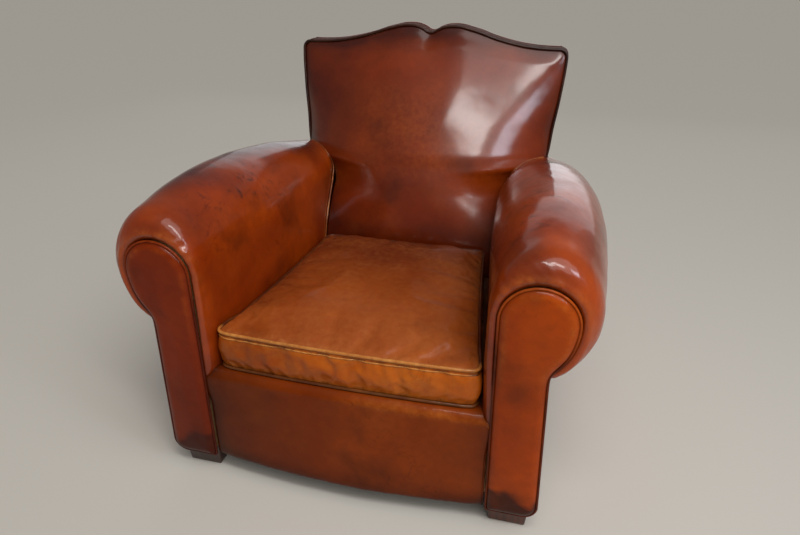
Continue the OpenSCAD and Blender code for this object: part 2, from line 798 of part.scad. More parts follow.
// The deck ends just in front of the foot of the padded back
deck_rear_y = back_edge_y(tuck_z) - back_swell * swell_shares[0][1] - 2 * fit_gap;

module deck_layer(top, t) {
    translate([0, 0, top - t])
        linear_extrude(t)
            polygon(between_arms(deck_z, deck_front_y, deck_rear_y, fit_gap));
}

deck_pad_top = deck_z - cover_t - fit_gap;
hessian_top = deck_pad_top - deck_pad_t - fit_gap;
web_z = frame_z + web_lift;
web_top = web_z + 2 * web_t;
spring_low = web_top + fit_gap;
spring_high = hessian_top - hessian_t - fit_gap;

spring_rows = 3;

// Middles of n springs or webs between two places
function spread(from, to, n) = [for (i = [0:n - 1]) mix(from, to, (i + 0.5) / n)];

spring_y = spread(board_back_y + rail_t, deck_rear_y, spring_rows);
spring_x = spread(-arm_in, arm_in, spring_rows);

module webbing_piece() {
    long = back_edge_y(web_z) + crest_setback - board_back_y - rail_t - 2 * fit_gap;
    for (x = concat(spring_x, [for (i = [0:spring_rows - 2]) (spring_x[i] + spring_x[i + 1]) / 2]))
        translate([x - web_w / 2, board_back_y + rail_t + fit_gap, web_z])
            cube([web_w, long, web_t]);
    for (y = spring_y)
        translate([-side_rail_in(y + web_w), y - web_w / 2, web_z + web_t])
            cube([2 * side_rail_in(y + web_w), web_w, web_t]);
}

// A wire spring, wide at both ends and narrow at its waist
module spring() {
    r = wire_d / 2;
    rings = round(coil_turns * 7);
    path = [for (i = [0:rings])
        let (
            t = i / rings,
            a = 360 * coil_turns * t,
            w = mix(waist_r, coil_r, pow(abs(2 * t - 1), coil_power))
        )
        [w * cos(a), w * sin(a), mix(spring_low + r, spring_high - r, t)]];
    open_tube(path, r, 4, [0, 0, 1]);
}

module springs_piece() {
    for (x = spring_x) for (y = spring_y)
        translate([x, y, 0]) spring();
}

// Frame

rail_top = frame_z + rail_h;
// Inner face of the side rails at the depth y
side_front_x = neck_x - 2 * cover_t - rail_t;
side_rear_x = post_edge(frame_z) - rail_t;
function side_rail_in(y) =
    let (along = (y - board_back_y) / (back_edge_y(frame_z) - board_back_y))
    mix(side_front_x, side_rear_x, along) - fit_gap;

front_rail_half = side_rail_in(board_back_y + rail_t);

module front_rail_piece() {
    translate([-front_rail_half, board_back_y, frame_z])
        cube([2 * front_rail_half, rail_t - fit_gap, rail_h]);
}

// A rail along the side, from the arm board to the post of the back
module along_side(x_front, x_rear, w, low, h) {
    rear = back_y;
    slope = (x_rear - x_front) / (back_edge_y(low) - board_back_y);
    end = x_front + slope * (rear - board_back_y);
    difference() {
        translate([0, 0, low])
            linear_extrude(h)
                polygon([
                    [x_front, board_back_y], [x_front + w, board_back_y],
                    [end + w, rear], [end, rear]
                ]);
        behind_back(crest_setback - fit_gap);
    }
}

module right_side_rail() {
    along_side(side_front_x, side_rear_x, rail_t, frame_z, rail_h);
}

post_y = board_back_y + rail_t;
post_x = side_rail_in(post_y + post_w) - post_w;

module right_front_post() {
    translate([post_x, post_y, frame_z + block_h + fit_gap])
        cube([post_w, post_w, roll_z - post_drop - frame_z - block_h]);
}

rear_block_y = back_edge_y(frame_z) + crest_setback - fit_gap - post_w;
rear_block_x = side_rail_in(rear_block_y + post_w) - post_w;

foot_front = [post_x + post_w / 2, post_y + post_w / 2];
foot_rear = [rear_block_x + post_w / 2, rear_block_y + post_w / 2];

module right_corner_blocks() {
    difference() {
        union() {
            translate([post_x, post_y, frame_z]) cube([post_w, post_w, block_h]);
            translate([rear_block_x, rear_block_y, frame_z]) cube([post_w, post_w, block_h]);
        }
        for (p = [foot_front, foot_rear])
            translate([p[0], p[1], frame_z - overrun])
                cylinder(d = foot_screw_d, h = overrun + block_h * screw_reach_share);
    }
}

arm_rail_x = head_x - arm_rail_w / 2;
arm_rail_rear_x = arm_half_in(arm_len) + arm_pad_t;

// The upper rail of the right arm, grown by d
module arm_top_rail_room(d) {
    along_side(arm_rail_x - d, arm_rail_rear_x - d, arm_rail_w + 2 * d,
        roll_z - post_drop + fit_gap - d, arm_rail_h + 2 * d);
}

module right_arm_top_rail() {
    arm_top_rail_room(0);
}

// The rail that carries the lower edge of an arm's inner wall follows it
module right_tacking_rail() {
    inner = [for (t = steps(10)) let (y = mix(board_back_y, arm_len, t)) [wall_x(y, tuck_z), y]];
    difference() {
        translate([0, 0, tuck_z - tack_h - fit_gap])
            linear_extrude(tack_h)
                polygon(concat(inner, [for (p = reversed(inner)) p + [board_t, 0]]));
        behind_back(crest_setback - fit_gap);
    }
}

// A foot whose upper face lies under the frame, tapered to the floor
module foot(x, y) {
    half = foot_w / 2;
    low = half - foot_taper;
    side = [[-low, 0], [low, 0], [half, frame_z - fit_gap], [-half, frame_z - fit_gap]];
    difference() {
        translate([x, y, 0])
            intersection() {
                translate([0, half, 0]) rotate([90, 0, 0]) linear_extrude(foot_w) polygon(side);
                translate([-half, 0, 0]) rotate([90, 0, 90]) linear_extrude(foot_w) polygon(side);
            }
        children();
    }
}

foot_front_x = flank_x - cover_t - foot_back - foot_w / 2;
foot_front_y = foot_back + foot_w / 2;
foot_rear_x = rear_x(frame_z) - cover_t - foot_back - foot_w / 2;
foot_rear_y = back_edge_y(frame_z) + back_depth - foot_back - foot_w / 2;
screw_low = foot_show / 2;

module foot_bore(p) {
    translate([p[0], p[1], screw_low]) cylinder(d = foot_screw_d, h = frame_z);
}

module right_front_foot() {
    foot(foot_front_x, foot_front_y) foot_bore(foot_front);
}

module right_rear_foot() {
    foot(foot_rear_x, foot_rear_y) foot_bore(foot_rear);
}

module right_foot_screws() {
    slack = fit_gap / 3;
    high = frame_z + block_h * screw_reach_share;
    for (p = [foot_front, foot_rear])
        translate([p[0], p[1], screw_low + slack])
            cylinder(d = foot_screw_d - 2 * slack, h = high - screw_low - 2 * slack);
}

module dust_cover_piece() {
    half = side_front_x;
    rear = back_edge_y(frame_z) + crest_setback;
    translate([0, 0, frame_z - fit_gap - dust_t])
        linear_extrude(dust_t)
            difference() {
                polygon([
                    [-half, board_back_y], [half, board_back_y],
                    [side_rear_x, rear], [-side_rear_x, rear]
                ]);
                for (side = [-1, 1]) for (p = [[foot_front_x, foot_front_y], [foot_rear_x, foot_rear_y]])
                    translate([side * p[0], p[1]]) square(foot_w + 2 * fit_gap, center = true);
            }
}

// Cushion

cushion_low = deck_z + fit_gap;
cushion_pipe_z = cushion_low + cushion_h;
cushion_pipe_low_z = cushion_low + cushion_piping_d / 2;
cushion_mid_y = cushion_y + cushion_len / 2;
cushion_bow = cushion_y / 2;
core_inset = cover_t + fit_gap;

// Half width of the cushion at the share v of its depth, drawn in between its corners
function cushion_half(v) = mix(cushion_w, cushion_back_w, v) / 2 - cushion_draw * sin(180 * v);

// One corner of the cushion, as an arc about c from the angle a to b
function corner_arc(c, r, a, b) = [for (t = steps(4)) c + r * [cos(mix(a, b, t)), sin(mix(a, b, t))]];

// Outline of the cushion from above, drawn in by d, going round by way of the right side
function cushion_outline(d) =
    let (
        r = cushion_corner_r,
        y_low = cushion_y,
        y_high = cushion_y + cushion_len,
        v_of = 1 / cushion_len,
        side = [for (t = cushion_side_shares) [cushion_half(t) - d, y_low + cushion_len * t]],
        front = corner_arc([cushion_half(r * v_of) - r, y_low + r], r - d, -90, 0),
        back = corner_arc([cushion_half(1 - r * v_of) - r, y_high - r], r - d, 0, 90),
        right = concat(
            [for (u = cushion_front_shares)
                [u * cushion_half(0), y_low - cushion_bow * (1 - u * u) + d]],
            front, side, back,
            [for (u = cushion_rear_shares) [u * cushion_half(1), y_high - d]]
        )
    )
    concat(right, [for (i = [len(right) - 1:-1:1]) [-right[i][0], right[i][1]]]);

// A ring of the cushion at one height, at a share s of its outline, drawn in by d
function cushion_ring(s, z, d) =
    [for (p = reversed(cushion_outline(d))) [p[0] * s, mix(cushion_mid_y, p[1], s), z]];

function crown_z(s, d) = cushion_pipe_z + cushion_crown * (1 - pow(s, crown_power)) - d;

module cushion_form(d, fine) {
    top = cushion_pipe_z;
    low = cushion_low;
    groove = cushion_piping_d + fit_gap;
    half = groove / 2 + fit_gap;
    crown = fine ? crown_shares : core_crown_shares;
    edge = fine
        ? [
            cushion_ring(1, low, groove),
            cushion_ring(1, low + groove, groove),
            cushion_ring(1, low + groove + fit_gap, cushion_piping_d / 2),
            cushion_ring(1, (low + top) / 2, fit_gap),
            cushion_ring(1, top - half - fit_gap, cushion_piping_d / 2),
            cushion_ring(1, top - half, groove),
            cushion_ring(1, top + half, groove)
        ]
        : [
            cushion_ring(1, low + d, groove + d),
            cushion_ring(1, (low + top) / 2, groove / 2 + d),
            cushion_ring(1, top - d, groove + d)
        ];
    ring_ball(
        [0, cushion_mid_y, low + d],
        concat(
            [cushion_ring(0.5, low + d, groove + d)],
            edge,
            [for (s = crown) cushion_ring(s, crown_z(s, d) + (fine ? half * s : 0), groove + d)]
        ),
        [0, cushion_mid_y, crown_z(0, d)]
    );
}

module cushion_cover_piece() {
    difference() {
        cushion_form(0, true);
        cushion_form(cover_t, false);
    }
}

module cushion_piping(z) {
    r = cushion_piping_d / 2;
    loop_tube([for (p = cushion_outline(r)) [p[0], p[1], z]], r, 5, [0, 0, 1]);
}

// Zip in the middle of the cushion's back

zip_y = cushion_y + cushion_len + fit_gap;
zip_z = (cushion_low + cushion_pipe_z) / 2;
slider_y = zip_y + tape_t + fit_gap;
slider_rest_x = zip_len / 2 - slider_w;
pull_eye_d = pull_pin_d + fit_gap;
pull_ring_d = pull_eye_d + 2 * pull_t;
pull_pin_y = slider_y + slider_floor_t + pull_ring_d / 2 + fit_gap;
pull_pin_z = zip_z + slider_h / 4;

module zip_tape_piece() {
    translate([-zip_len / 2, zip_y, zip_z - zip_h / 2]) cube([zip_len, tape_t, zip_h]);
}

// Lays a round piece along the pin of the pull, about the middle of the slider
module on_pin() {
    translate([slider_rest_x + slider_w / 2, pull_pin_y, pull_pin_z])
        rotate([0, 90, 0])
            children();
}

// Slider with two ears, and the pin of the pull between them
module zip_slider_piece() {
    slot = pull_w + 2 * fit_gap;
    translate([slider_rest_x, slider_y, zip_z - slider_h / 2])
        difference() {
            cube([slider_w, pull_pin_y + pull_pin_d - slider_y, slider_h]);
            translate([(slider_w - slot) / 2, slider_floor_t, -overrun])
                cube([slot, slider_w, 2 * overrun]);
        }
    on_pin() cylinder(d = pull_pin_d, h = slider_w - fit_gap, center = true, $fn = 24);
}

module zip_pull_piece() {
    on_pin()
        difference() {
            translate([0, 0, -pull_w / 2]) {
                cylinder(d = pull_ring_d, h = pull_w, $fn = 32);
                translate([0, -pull_t / 2, 0]) cube([pull_len, pull_t, pull_w]);
            }
            cylinder(d = pull_eye_d, h = 2 * pull_w, center = true, $fn = 24);
        }
}

// Named pieces

module front_rail() { color(beech) place() front_rail_piece(); }
module back_rail() { color(beech) place() across_back(frame_z + wood_t * sin(back_rake), rail_top); }
module side_rail_left() { color(beech) place() left() right_side_rail(); }
module side_rail_right() { color(beech) place() right_side_rail(); }
module corner_blocks() { color(beech) place() both() right_corner_blocks(); }
module front_post_left() { color(beech) place() left() right_front_post(); }
module front_post_right() { color(beech) place() right_front_post(); }
module arm_board_left() { color(beech) place() left() right_arm_board(); }
module arm_board_right() { color(beech) place() right_arm_board(); }
module arm_top_rail_left() { color(beech) place() left() right_arm_top_rail(); }
module arm_top_rail_right() { color(beech) place() right_arm_top_rail(); }
module arm_tacking_rail_left() { color(beech) place() left() right_tacking_rail(); }
module arm_tacking_rail_right() { color(beech) place() right_tacking_rail(); }
module back_post_left() { color(beech) place() left() right_back_post(); }
module back_post_right() { color(beech) place() right_back_post(); }
module crest_rail() { color(beech) place() crest_rail_piece(); }
module back_tacking_rail() { color(beech) place() across_back(tuck_z, tuck_z + tack_h); }
module foot_front_left() { color(foot_wood) place() left() right_front_foot(); }
module foot_front_right() { color(foot_wood) place() right_front_foot(); }
module foot_back_left() { color(foot_wood) place() left() right_rear_foot(); }
module foot_back_right() { color(foot_wood) place() right_rear_foot(); }
module foot_screws() { color(steel) place() both() right_foot_screws(); }
module seat_webbing() { color(jute) place() webbing_piece(); }
module seat_springs() { color(steel) place() springs_piece(); }
module seat_hessian() { color(jute) place() deck_layer(hessian_top, hessian_t); }
module deck_pad() { color(hair) place() deck_layer(deck_pad_top, deck_pad_t); }
module deck_cover() { color(leather_dark) place() deck_layer(deck_z, cover_t); }
module dust_cover() { color(hair) place() dust_cover_piece(); }
module border_pad() { color(hair) place() border_pad_piece(); }
module front_border() { color(leather) place() front_border_piece(); }
module arm_pad_left() { color(hair) place() left() right_arm_pad(); }
module arm_pad_right() { color(hair) place() right_arm_pad(); }
module arm_cover_left() { color(leather) place() left() right_arm_cover(); }
module arm_cover_right() { color(leather) place() right_arm_cover(); }
module facing_left() { color(leather) place() left() right_facing(); }
module facing_right() { color(leather) place() right_facing(); }
module facing_piping_left() { color(leather_dark) place() left() right_facing_piping(); }
module facing_piping_right() { color(leather_dark) place() right_facing_piping(); }
module outside_arm_left() { color(leather) place() left() right_outside_arm(); }
module outside_arm_right() { color(leather) place() right_outside_arm(); }
module back_pad() { color(hair) place() back_pad_piece(); }
module inside_back() { color(leather) place() inside_back_piece(); }
module back_band() { color(leather) place() back_band_piece(); }
module back_piping() { color(leather_dark) place() back_piping_piece(); }
module outside_back() { color(leather) place() outside_back_piece(); }
module cushion_cover() { color(leather_tan) place() cushion_cover_piece(); }
module cushion_core() { color(hair) place() cushion_form(core_inset, false); }
module cushion_piping_top() { color(leather_tan) place() cushion_piping(cushion_pipe_z); }
module cushion_piping_bottom() { color(leather_tan) place() cushion_piping(cushion_pipe_low_z); }
module zip_tape() { color(hair) place() zip_tape_piece(); }
module zip_slider() { color(steel) place() zip_slider_piece(); }
module zip_pull() { color(steel) place() zip_pull_piece(); }

front_rail();
back_rail();
side_rail_left();
side_rail_right();
corner_blocks();
front_post_left();
front_post_right();
arm_board_left();
arm_board_right();
arm_top_rail_left();
arm_top_rail_right();
arm_tacking_rail_left();
arm_tacking_rail_right();
back_post_left();
back_post_right();
crest_rail();
back_tacking_rail();
foot_front_left();
foot_front_right();
foot_back_left();
foot_back_right();
foot_screws();
seat_webbing();
seat_springs();
seat_hessian();
deck_pad();
deck_cover();
dust_cover();
border_pad();
front_border();
arm_pad_left();
arm_pad_right();
arm_cover_left();
arm_cover_right();
facing_left();
facing_right();
facing_piping_left();
facing_piping_right();
outside_arm_left();
outside_arm_right();
back_pad();
inside_back();
back_band();
back_piping();
outside_back();
cushion_cover();
cushion_core();
cushion_piping_top();
cushion_piping_bottom();
zip_tape();
zip_slider();
zip_pull();
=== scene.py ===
import math

import bpy
import numpy as np
from mathutils import Matrix, Quaternion, Vector


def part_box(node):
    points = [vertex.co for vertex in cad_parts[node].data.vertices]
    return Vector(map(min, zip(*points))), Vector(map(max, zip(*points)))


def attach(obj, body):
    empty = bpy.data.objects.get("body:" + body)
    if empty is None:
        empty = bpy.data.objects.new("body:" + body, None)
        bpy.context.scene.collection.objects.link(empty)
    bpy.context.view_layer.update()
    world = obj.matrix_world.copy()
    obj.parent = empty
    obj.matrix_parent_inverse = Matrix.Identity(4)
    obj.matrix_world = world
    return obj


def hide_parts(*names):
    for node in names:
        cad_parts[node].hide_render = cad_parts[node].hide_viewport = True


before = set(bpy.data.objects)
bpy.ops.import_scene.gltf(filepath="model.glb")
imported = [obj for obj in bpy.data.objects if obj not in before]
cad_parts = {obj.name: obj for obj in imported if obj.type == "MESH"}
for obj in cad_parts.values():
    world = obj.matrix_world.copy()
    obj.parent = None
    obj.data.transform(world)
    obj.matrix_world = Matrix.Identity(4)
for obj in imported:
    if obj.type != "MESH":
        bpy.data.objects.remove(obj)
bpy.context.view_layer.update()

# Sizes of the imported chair, in millimetres. Depths are measured from the face of the arm fronts.
FOOT_SHOW, FOOT_W, FOOT_TAPER = 44, 83, 5
FACING_IN, FACING_LEAN, HEAD_R, HEAD_DROP = 281, 8, 68, 107
NECK_W, NECK_FLARE, CORNER_R, PAD_T, PIPE_D = 97, 13, 31, 9, 5
ROLL_Z, ARM_IN, ARM_OUT, ARM_RISE, ARM_ROUND, RECESS = 487, 227, 466, 135, 45, 5
BACK_W, SHOULDER_Z, CREST_RISE, BACK_CORNER_R = 706, 803, 46, 21
RAKE, BACK_DEPTH, BACK_SWELL, BACK_PIPE_D = 11.5, 50, 152, 7
DECK_Z, BORDER_BOW, BORDER_BOW_TOP, BORDER_R, BORDER_STEP = 274, 22, 6, 22, 8
CUSHION_W, CUSHION_BACK_W, CUSHION_LEN, CUSHION_Y = 530, 416, 508, 16
CUSHION_H, CUSHION_CROWN, CUSHION_DRAW, CUSHION_PIPE_D, CUSHION_R = 85, 27, 5, 8, 20
COVER_T, GAP, TUCK_DROP = 3, 0.3, 14
SEAT_FRONT, SEAT_REAR = 56.2, 526  # depths between which the deck and its padding lie
ARM_SOFT = 74  # depth over which the padding of an arm rounds into its front seam

BACK_HALF = BACK_W / 2
BORDER_LOW = FOOT_SHOW + BORDER_STEP
TUCK_Z = DECK_Z - TUCK_DROP
SLOPE = math.tan(math.radians(RAKE))
BACK_FOOT_Y = 623.666
MIDDLE_Y = 412.198
REAR_SHARE = 0.306  # share of an arm's rise that is left at its rear end
HEAD_X = FACING_IN + HEAD_R
NECK_X = FACING_IN + NECK_W
FLANK_X = NECK_X + NECK_FLARE
REST_Z = DECK_Z + GAP
PIPE_Z = REST_Z + CUSHION_H
FRONT, REAR, UP, RIGHT = (0, -1, 0), (0, 1, 0), (0, 0, 1), (1, 0, 0)


def adjust(target, **values):
    for key, value in values.items():
        setattr(target, key, value)
    return target


def mix(a, b, t):
    return a + (b - a) * t


def smooth(t):
    t = np.clip(t, 0, 1)
    return t * t * (3 - 2 * t)


def bell(x, width):
    """A bump of height 1 at x = 0, which falls to 1/e at the width."""
    return np.exp(-((x / width) ** 2))


def patch(*shares):
    """A bump over several directions, each given in shares of its width."""
    return np.exp(-sum(share**2 for share in shares))


def unit(v):
    return v / np.maximum(np.linalg.norm(v, axis=-1, keepdims=True), 1e-9)


def marked(dark, worn, **more):
    """Marks of each point, 0 to 1, which the leather reads as darkening and wear: real stain and wear, and in places
    painted shade and painted highlights.
    """
    return {name: np.clip(value, 0, 1) for name, value in dict(dark=dark, worn=worn, **more).items()}


def crowded(count):
    """Steps from -1 to 1 that crowd together a little at both ends."""
    u = np.linspace(-1, 1, count)
    return np.sign(u) * (1 - (1 - np.abs(u)) ** 1.15)


def arc(x, z, r, start, end, count):
    """Points on a circle round x, z, from one angle to another in degrees."""
    a = np.radians(np.linspace(start, end, count))
    return joined(x + r * np.cos(a), z + r * np.sin(a))


def curve(table):
    """A smooth curve through a table of pairs, which never overshoots them."""
    x, y = np.array(table, float).T
    h = np.diff(x)
    d = np.diff(y) / h
    m = np.zeros_like(x)
    same = d[:-1] * d[1:] > 0
    w1, w2 = 2 * h[1:] + h[:-1], h[1:] + 2 * h[:-1]
    with np.errstate(divide="ignore", invalid="ignore"):
        inner = (w1 + w2) / (w1 / d[:-1] + w2 / d[1:])
    m[1:-1] = np.where(same, inner, 0)
    m[0], m[-1] = d[0], d[-1]

    def at(t):
        t = np.clip(t, x[0], x[-1])
        i = np.clip(np.searchsorted(x, t) - 1, 0, len(h) - 1)
        s = (t - x[i]) / h[i]
        return (
            (2 * s**3 - 3 * s**2 + 1) * y[i]
            + (s**3 - 2 * s**2 + s) * h[i] * m[i]
            + (3 * s**2 - 2 * s**3) * y[i + 1]
            + (s**3 - s**2) * h[i] * m[i + 1]
        )

    return at


arm_out_share = curve([
    (0, 0.946), (0.135, 0.981), (0.27, 0.994), (0.405, 1), (0.54, 0.996), (0.676, 0.974),
    (0.81, 0.94), (0.88, 0.906), (0.945, 0.854), (0.98, 0.815), (1, 0.777),
])
arm_in_share = curve([
    (0, 0.794), (0.135, 0.593), (0.27, 0.37), (0.405, 0.185), (0.54, 0.076), (0.676, 0),
    (0.81, 0.147), (0.88, 0.336), (0.945, 0.525), (1, 0.715),
])
arm_rise_share = curve([
    (0, 0.77), (0.135, 0.955), (0.27, 1), (0.405, 0.963), (0.54, 0.866), (0.676, 0.739),
    (0.81, 0.56), (0.88, 0.47), (0.945, 0.38), (1, REAR_SHARE),
])
panel_share = curve([
    (0, 1), (0.27, 1.015), (0.405, 1.02), (0.54, 1.015), (0.676, 0.99), (0.81, 0.96),
    (0.88, 0.935), (0.945, 0.905), (1, 0.87),
])
back_half_share = curve([
    (0, 0.66), (0.5, 0.657), (0.57, 0.66), (0.6, 0.7), (0.63, 0.8), (0.655, 0.928),
    (0.77, 0.96), (0.86, 0.984), (0.97, 1), (1, 1),
])
crest_share = curve([
    (0, 0.64), (0.02, 0.67), (0.05, 0.8), (0.09, 0.92), (0.13, 0.985), (0.18, 1), (0.23, 0.965),
    (0.29, 0.86), (0.36, 0.73), (0.45, 0.5), (0.58, 0.25), (0.7, 0.09), (0.8, 0.02), (0.9, 0), (1, 0),
])
swell_share = curve([
    (0, 0.985), (0.15, 1), (0.3, 0.975), (0.4, 0.925), (0.5, 0.825), (0.6, 0.7), (0.7, 0.562),
    (0.8, 0.404), (0.9, 0.226), (0.96, 0.11), (1, 0),
])
side_share = curve([
    (0, 0.93), (0.18, 0.9), (0.27, 0.78), (0.34, 0.6), (0.4, 0.39), (0.45, 0.2), (0.5, 0.06), (0.54, 0), (1, 0),
])


def hashed(x, y, z, seed):
    h = (x * 374761393 + y * 668265263 + z * 1440662683 + seed * 69069) & 0xFFFFFFFF
    h = ((h ^ (h >> 13)) * 1274126177) & 0xFFFFFFFF
    return (h ^ (h >> 16)) & 0xFFFF


def noise(p, size, seed=0):
    """Smooth noise, about -0.7 to 0.7, with features of the given size (one number or three)."""
    q = np.asarray(p, float) / size
    i = np.floor(q).astype(np.int64)
    f = q - i
    w = f * f * f * (f * (f * 6 - 15) + 10)
    total = 0
    for dx in (0, 1):
        for dy in (0, 1):
            for dz in (0, 1):
                h = hashed(i[..., 0] + dx, i[..., 1] + dy, i[..., 2] + dz, seed)
                gx, gy, gz = (h & 31) / 15.5 - 1, ((h >> 5) & 31) / 15.5 - 1, ((h >> 10) & 31) / 15.5 - 1
                k = gx * (f[..., 0] - dx) + gy * (f[..., 1] - dy) + gz * (f[..., 2] - dz)
                for axis, side in enumerate((dx, dy, dz)):
                    k = k * (w[..., axis] if side else 1 - w[..., axis])
                total = total + k
    return total


def layered(p, size, octaves, seed):
    return sum(noise(p, size / 2**k, seed + 17 * k) * 0.5**k for k in range(octaves))


def ridged(p, size, seed, power=3):
    """Thin soft ridges, 0 to 1, for creases."""
    return np.clip(1 - np.abs(noise(p, size, seed)) * 3.2, 0, 1) ** power


# Meshes


def joined(*axes):
    """Points or rows out of one array or number per axis."""
    return np.stack(np.broadcast_arrays(*axes), -1)


def grid(a, b):
    return np.meshgrid(a, b, indexing="ij")


def placed(points):
    out = np.array(points, float).reshape(-1, 3)
    out[:, 1] -= MIDDLE_Y
    return out / 1000


def add(name, data):
    obj = bpy.data.objects.new(name, data)
    bpy.context.scene.collection.objects.link(obj)
    return obj


def new_object(name, points, faces, marks, sharp):
    mesh = bpy.data.meshes.new(name)
    mesh.from_pydata(placed(points), [], faces)
    mesh.validate()
    mesh.update()
    for mark, values in (marks or {}).items():
        layer = mesh.attributes.new(mark, "FLOAT", "POINT")
        layer.data.foreach_set("value", np.asarray(values, np.float32).ravel())
    mesh.shade_smooth()
    if sharp:
        mesh.set_sharp_from_angle(angle=math.radians(sharp))
    return add(name, mesh)


def grid_faces(rows, cols, first=0, flip=False):
    r, c = grid(np.arange(rows - 1), np.arange(cols - 1))
    a = (first + r * cols + c).ravel()
    quads = joined(a, a + 1, a + cols + 1, a + cols)
    return (quads[:, ::-1] if flip else quads).tolist()


def loft(rings, sides, first=0, looped=False, flip=False):
    """Faces over rings of points, with a cap at both ends unless they form a loop."""
    faces = []
    for i in range(rings if looped else rings - 1):
        a, b = first + i * sides, first + (i + 1) % rings * sides
        faces += [[a + k, a + (k + 1) % sides, b + (k + 1) % sides, b + k] for k in range(sides)]
    if not looped:
        last = first + (rings - 1) * sides
        faces += [list(range(first, first + sides))[::-1], list(range(last, last + sides))]
    return [f[::-1] for f in faces] if flip else faces


def normals(p, toward):
    """Unit normals of a grid of points, on the side that looks toward a direction."""
    n = unit(np.cross(np.gradient(p, axis=0), np.gradient(p, axis=1)))
    furthest = np.argmax(p @ np.array(toward, float))
    return n if n.reshape(-1, 3)[furthest] @ toward > 0 else -n


def closed(name, front, rear, marks=None, sharp=50):
    """A closed piece between two grids of points."""
    rows, cols = front.shape[:2]
    size = rows * cols
    across = np.cross(np.gradient(front, axis=0), np.gradient(front, axis=1))
    out = bool(np.sum(across * (front - rear)) > 0)
    faces = grid_faces(rows, cols, 0, out) + grid_faces(rows, cols, size, not out)
    ids = np.arange(size).reshape(rows, cols)
    rim = np.concatenate([ids[0], ids[1:, -1], ids[-1, -2::-1], ids[-2:0:-1, 0]]).tolist()
    for a, b in zip(rim, rim[1:] + rim[:1]):
        quad = [a, b, size + b, size + a]
        faces.append(quad if out else quad[::-1])
    full = {k: np.tile(np.ravel(v), 2) for k, v in (marks or {}).items()}
    return new_object(name, np.concatenate([front.reshape(-1, 3), rear.reshape(-1, 3)]), faces, full, sharp)


def shell(name, outer, toward, marks, thickness=COVER_T, lip=0.8):
    """A closed skin under a grid that looks toward a direction, with its cut edges turned in a little."""
    n = normals(outer, toward)
    inner = outer - n * thickness
    outer = outer.copy()
    for k in (0, -1):
        outer[k] -= n[k] * lip
        outer[:, k] -= n[:, k] * lip
    return closed(name, outer, inner, marks, 40)


def pushed(p, toward, amount):
    return p + normals(p, toward) * amount[..., None]


def resample(path, count, closed=False):
    p = np.asarray(path, float)
    if closed:
        p = np.vstack([p, p[:1]])
    s = np.concatenate([[0], np.cumsum(np.linalg.norm(np.diff(p, axis=0), axis=1))])
    t = np.linspace(0, s[-1], count + 1)[:-1] if closed else np.linspace(0, s[-1], count)
    return np.stack([np.interp(t, s, p[:, k]) for k in range(p.shape[1])], 1)


def soften(path, times, closed=False):
    p = np.array(path, float)
    for _ in range(times):
        if closed:
            p = (np.roll(p, 1, 0) + 2 * p + np.roll(p, -1, 0)) / 4
        else:
            p[1:-1] = (p[:-2] + 2 * p[1:-1] + p[2:]) / 4
    return p


def tube(name, path, radius, sides, closed=False, marks=None, wobble=0.0):
    """A round cord along a path, with frames carried along it so that it doesn't twist."""
    p = np.asarray(path, float)
    n = len(p)
    d = unit(np.roll(p, -1, 0) - np.roll(p, 1, 0) if closed else np.gradient(p, axis=0))
    side = np.zeros_like(p)
    v = np.cross(d[0], [0.3, 0.5, 0.8])
    for i in range(n):
        v = unit(v - d[i] * (v @ d[i]))
        side[i] = v
    top = np.cross(d, side)
    if closed:
        # Spread the turn that is left over at the join along the whole cord
        last = side[-1] - d[0] * (side[-1] @ d[0])
        turn = math.atan2(last @ top[0], last @ side[0])
        a = -turn * np.arange(n)[:, None] / n
        side, top = side * np.cos(a) + top * np.sin(a), top * np.cos(a) - side * np.sin(a)
    r = radius * (1 + wobble * noise(p, radius * 5, 3))[:, None] if wobble else radius
    angles = [2 * math.pi * k / sides for k in range(sides)]
    points = np.stack([p + r * (math.cos(a) * side + math.sin(a) * top) for a in angles], 1)
    full = {k: np.repeat(v, sides) for k, v in (marks or {}).items()}
    return new_object(name, points.reshape(-1, 3), loft(n, sides, looped=closed), full, 60)


STITCH_LEN, STITCH_PITCH, THREAD_R = 3.2, 5.0, 0.45


def stitches(name, path, out):
    """A row of thread stitches round a closed path, raised a little along the directions out."""
    total = np.linalg.norm(np.diff(np.vstack([path, path[:1]]), axis=0), axis=1).sum()
    count = int(total / STITCH_PITCH)
    fine = resample(path, count * 4, True)
    outs = unit(resample(out, count * 4, True))
    points, faces = [], []
    for i in range(count - 1):
        a, b, up = fine[4 * i], fine[4 * i + 3], outs[4 * i + 1]
        d = unit(b - a)
        side = np.cross(d, up)
        faces += loft(4, 6, len(points), flip=True)
        # Both ends of a stitch dive into the leather
        for s, r, lift in ((-0.5, 0.3, -0.3), (-0.34, 1, 0.15), (0.34, 1, 0.15), (0.5, 0.3, -0.3)):
            for t in (math.pi * k / 3 for k in range(6)):
                off = r * (math.cos(t) * side + math.sin(t) * up) + lift * up
                points.append((a + b) / 2 + d * s * STITCH_LEN + THREAD_R * off)
    return new_object(name, points, faces, None, 0)


def mirrored(obj, name):
    """The same piece on the other side of the chair."""
    mesh = obj.data.copy()
    mesh.name = name
    mesh.transform(Matrix.Scale(-1, 4, (1, 0, 0)))
    mesh.flip_normals()
    return add(name, mesh)


# Shapes of the chair


def share_of(y):
    return np.clip(np.asarray(y, float) / ARM_LEN, 0, 1)


def back_edge_y(z):
    return BACK_FOOT_Y + z * SLOPE


ARM_LEN = back_edge_y(ROLL_Z + ARM_RISE * REAR_SHARE) + BACK_DEPTH


def half_in(y):
    return mix(ARM_IN, FACING_IN, arm_in_share(share_of(y)))


def half_out(y):
    return ARM_OUT * arm_out_share(share_of(y))


def lift(y):
    return ARM_RISE * arm_rise_share(share_of(y))


def flank(z):
    return mix(FLANK_X, NECK_X, np.clip((z - FOOT_SHOW) / (ROLL_Z - HEAD_DROP - FOOT_SHOW), 0, 1))


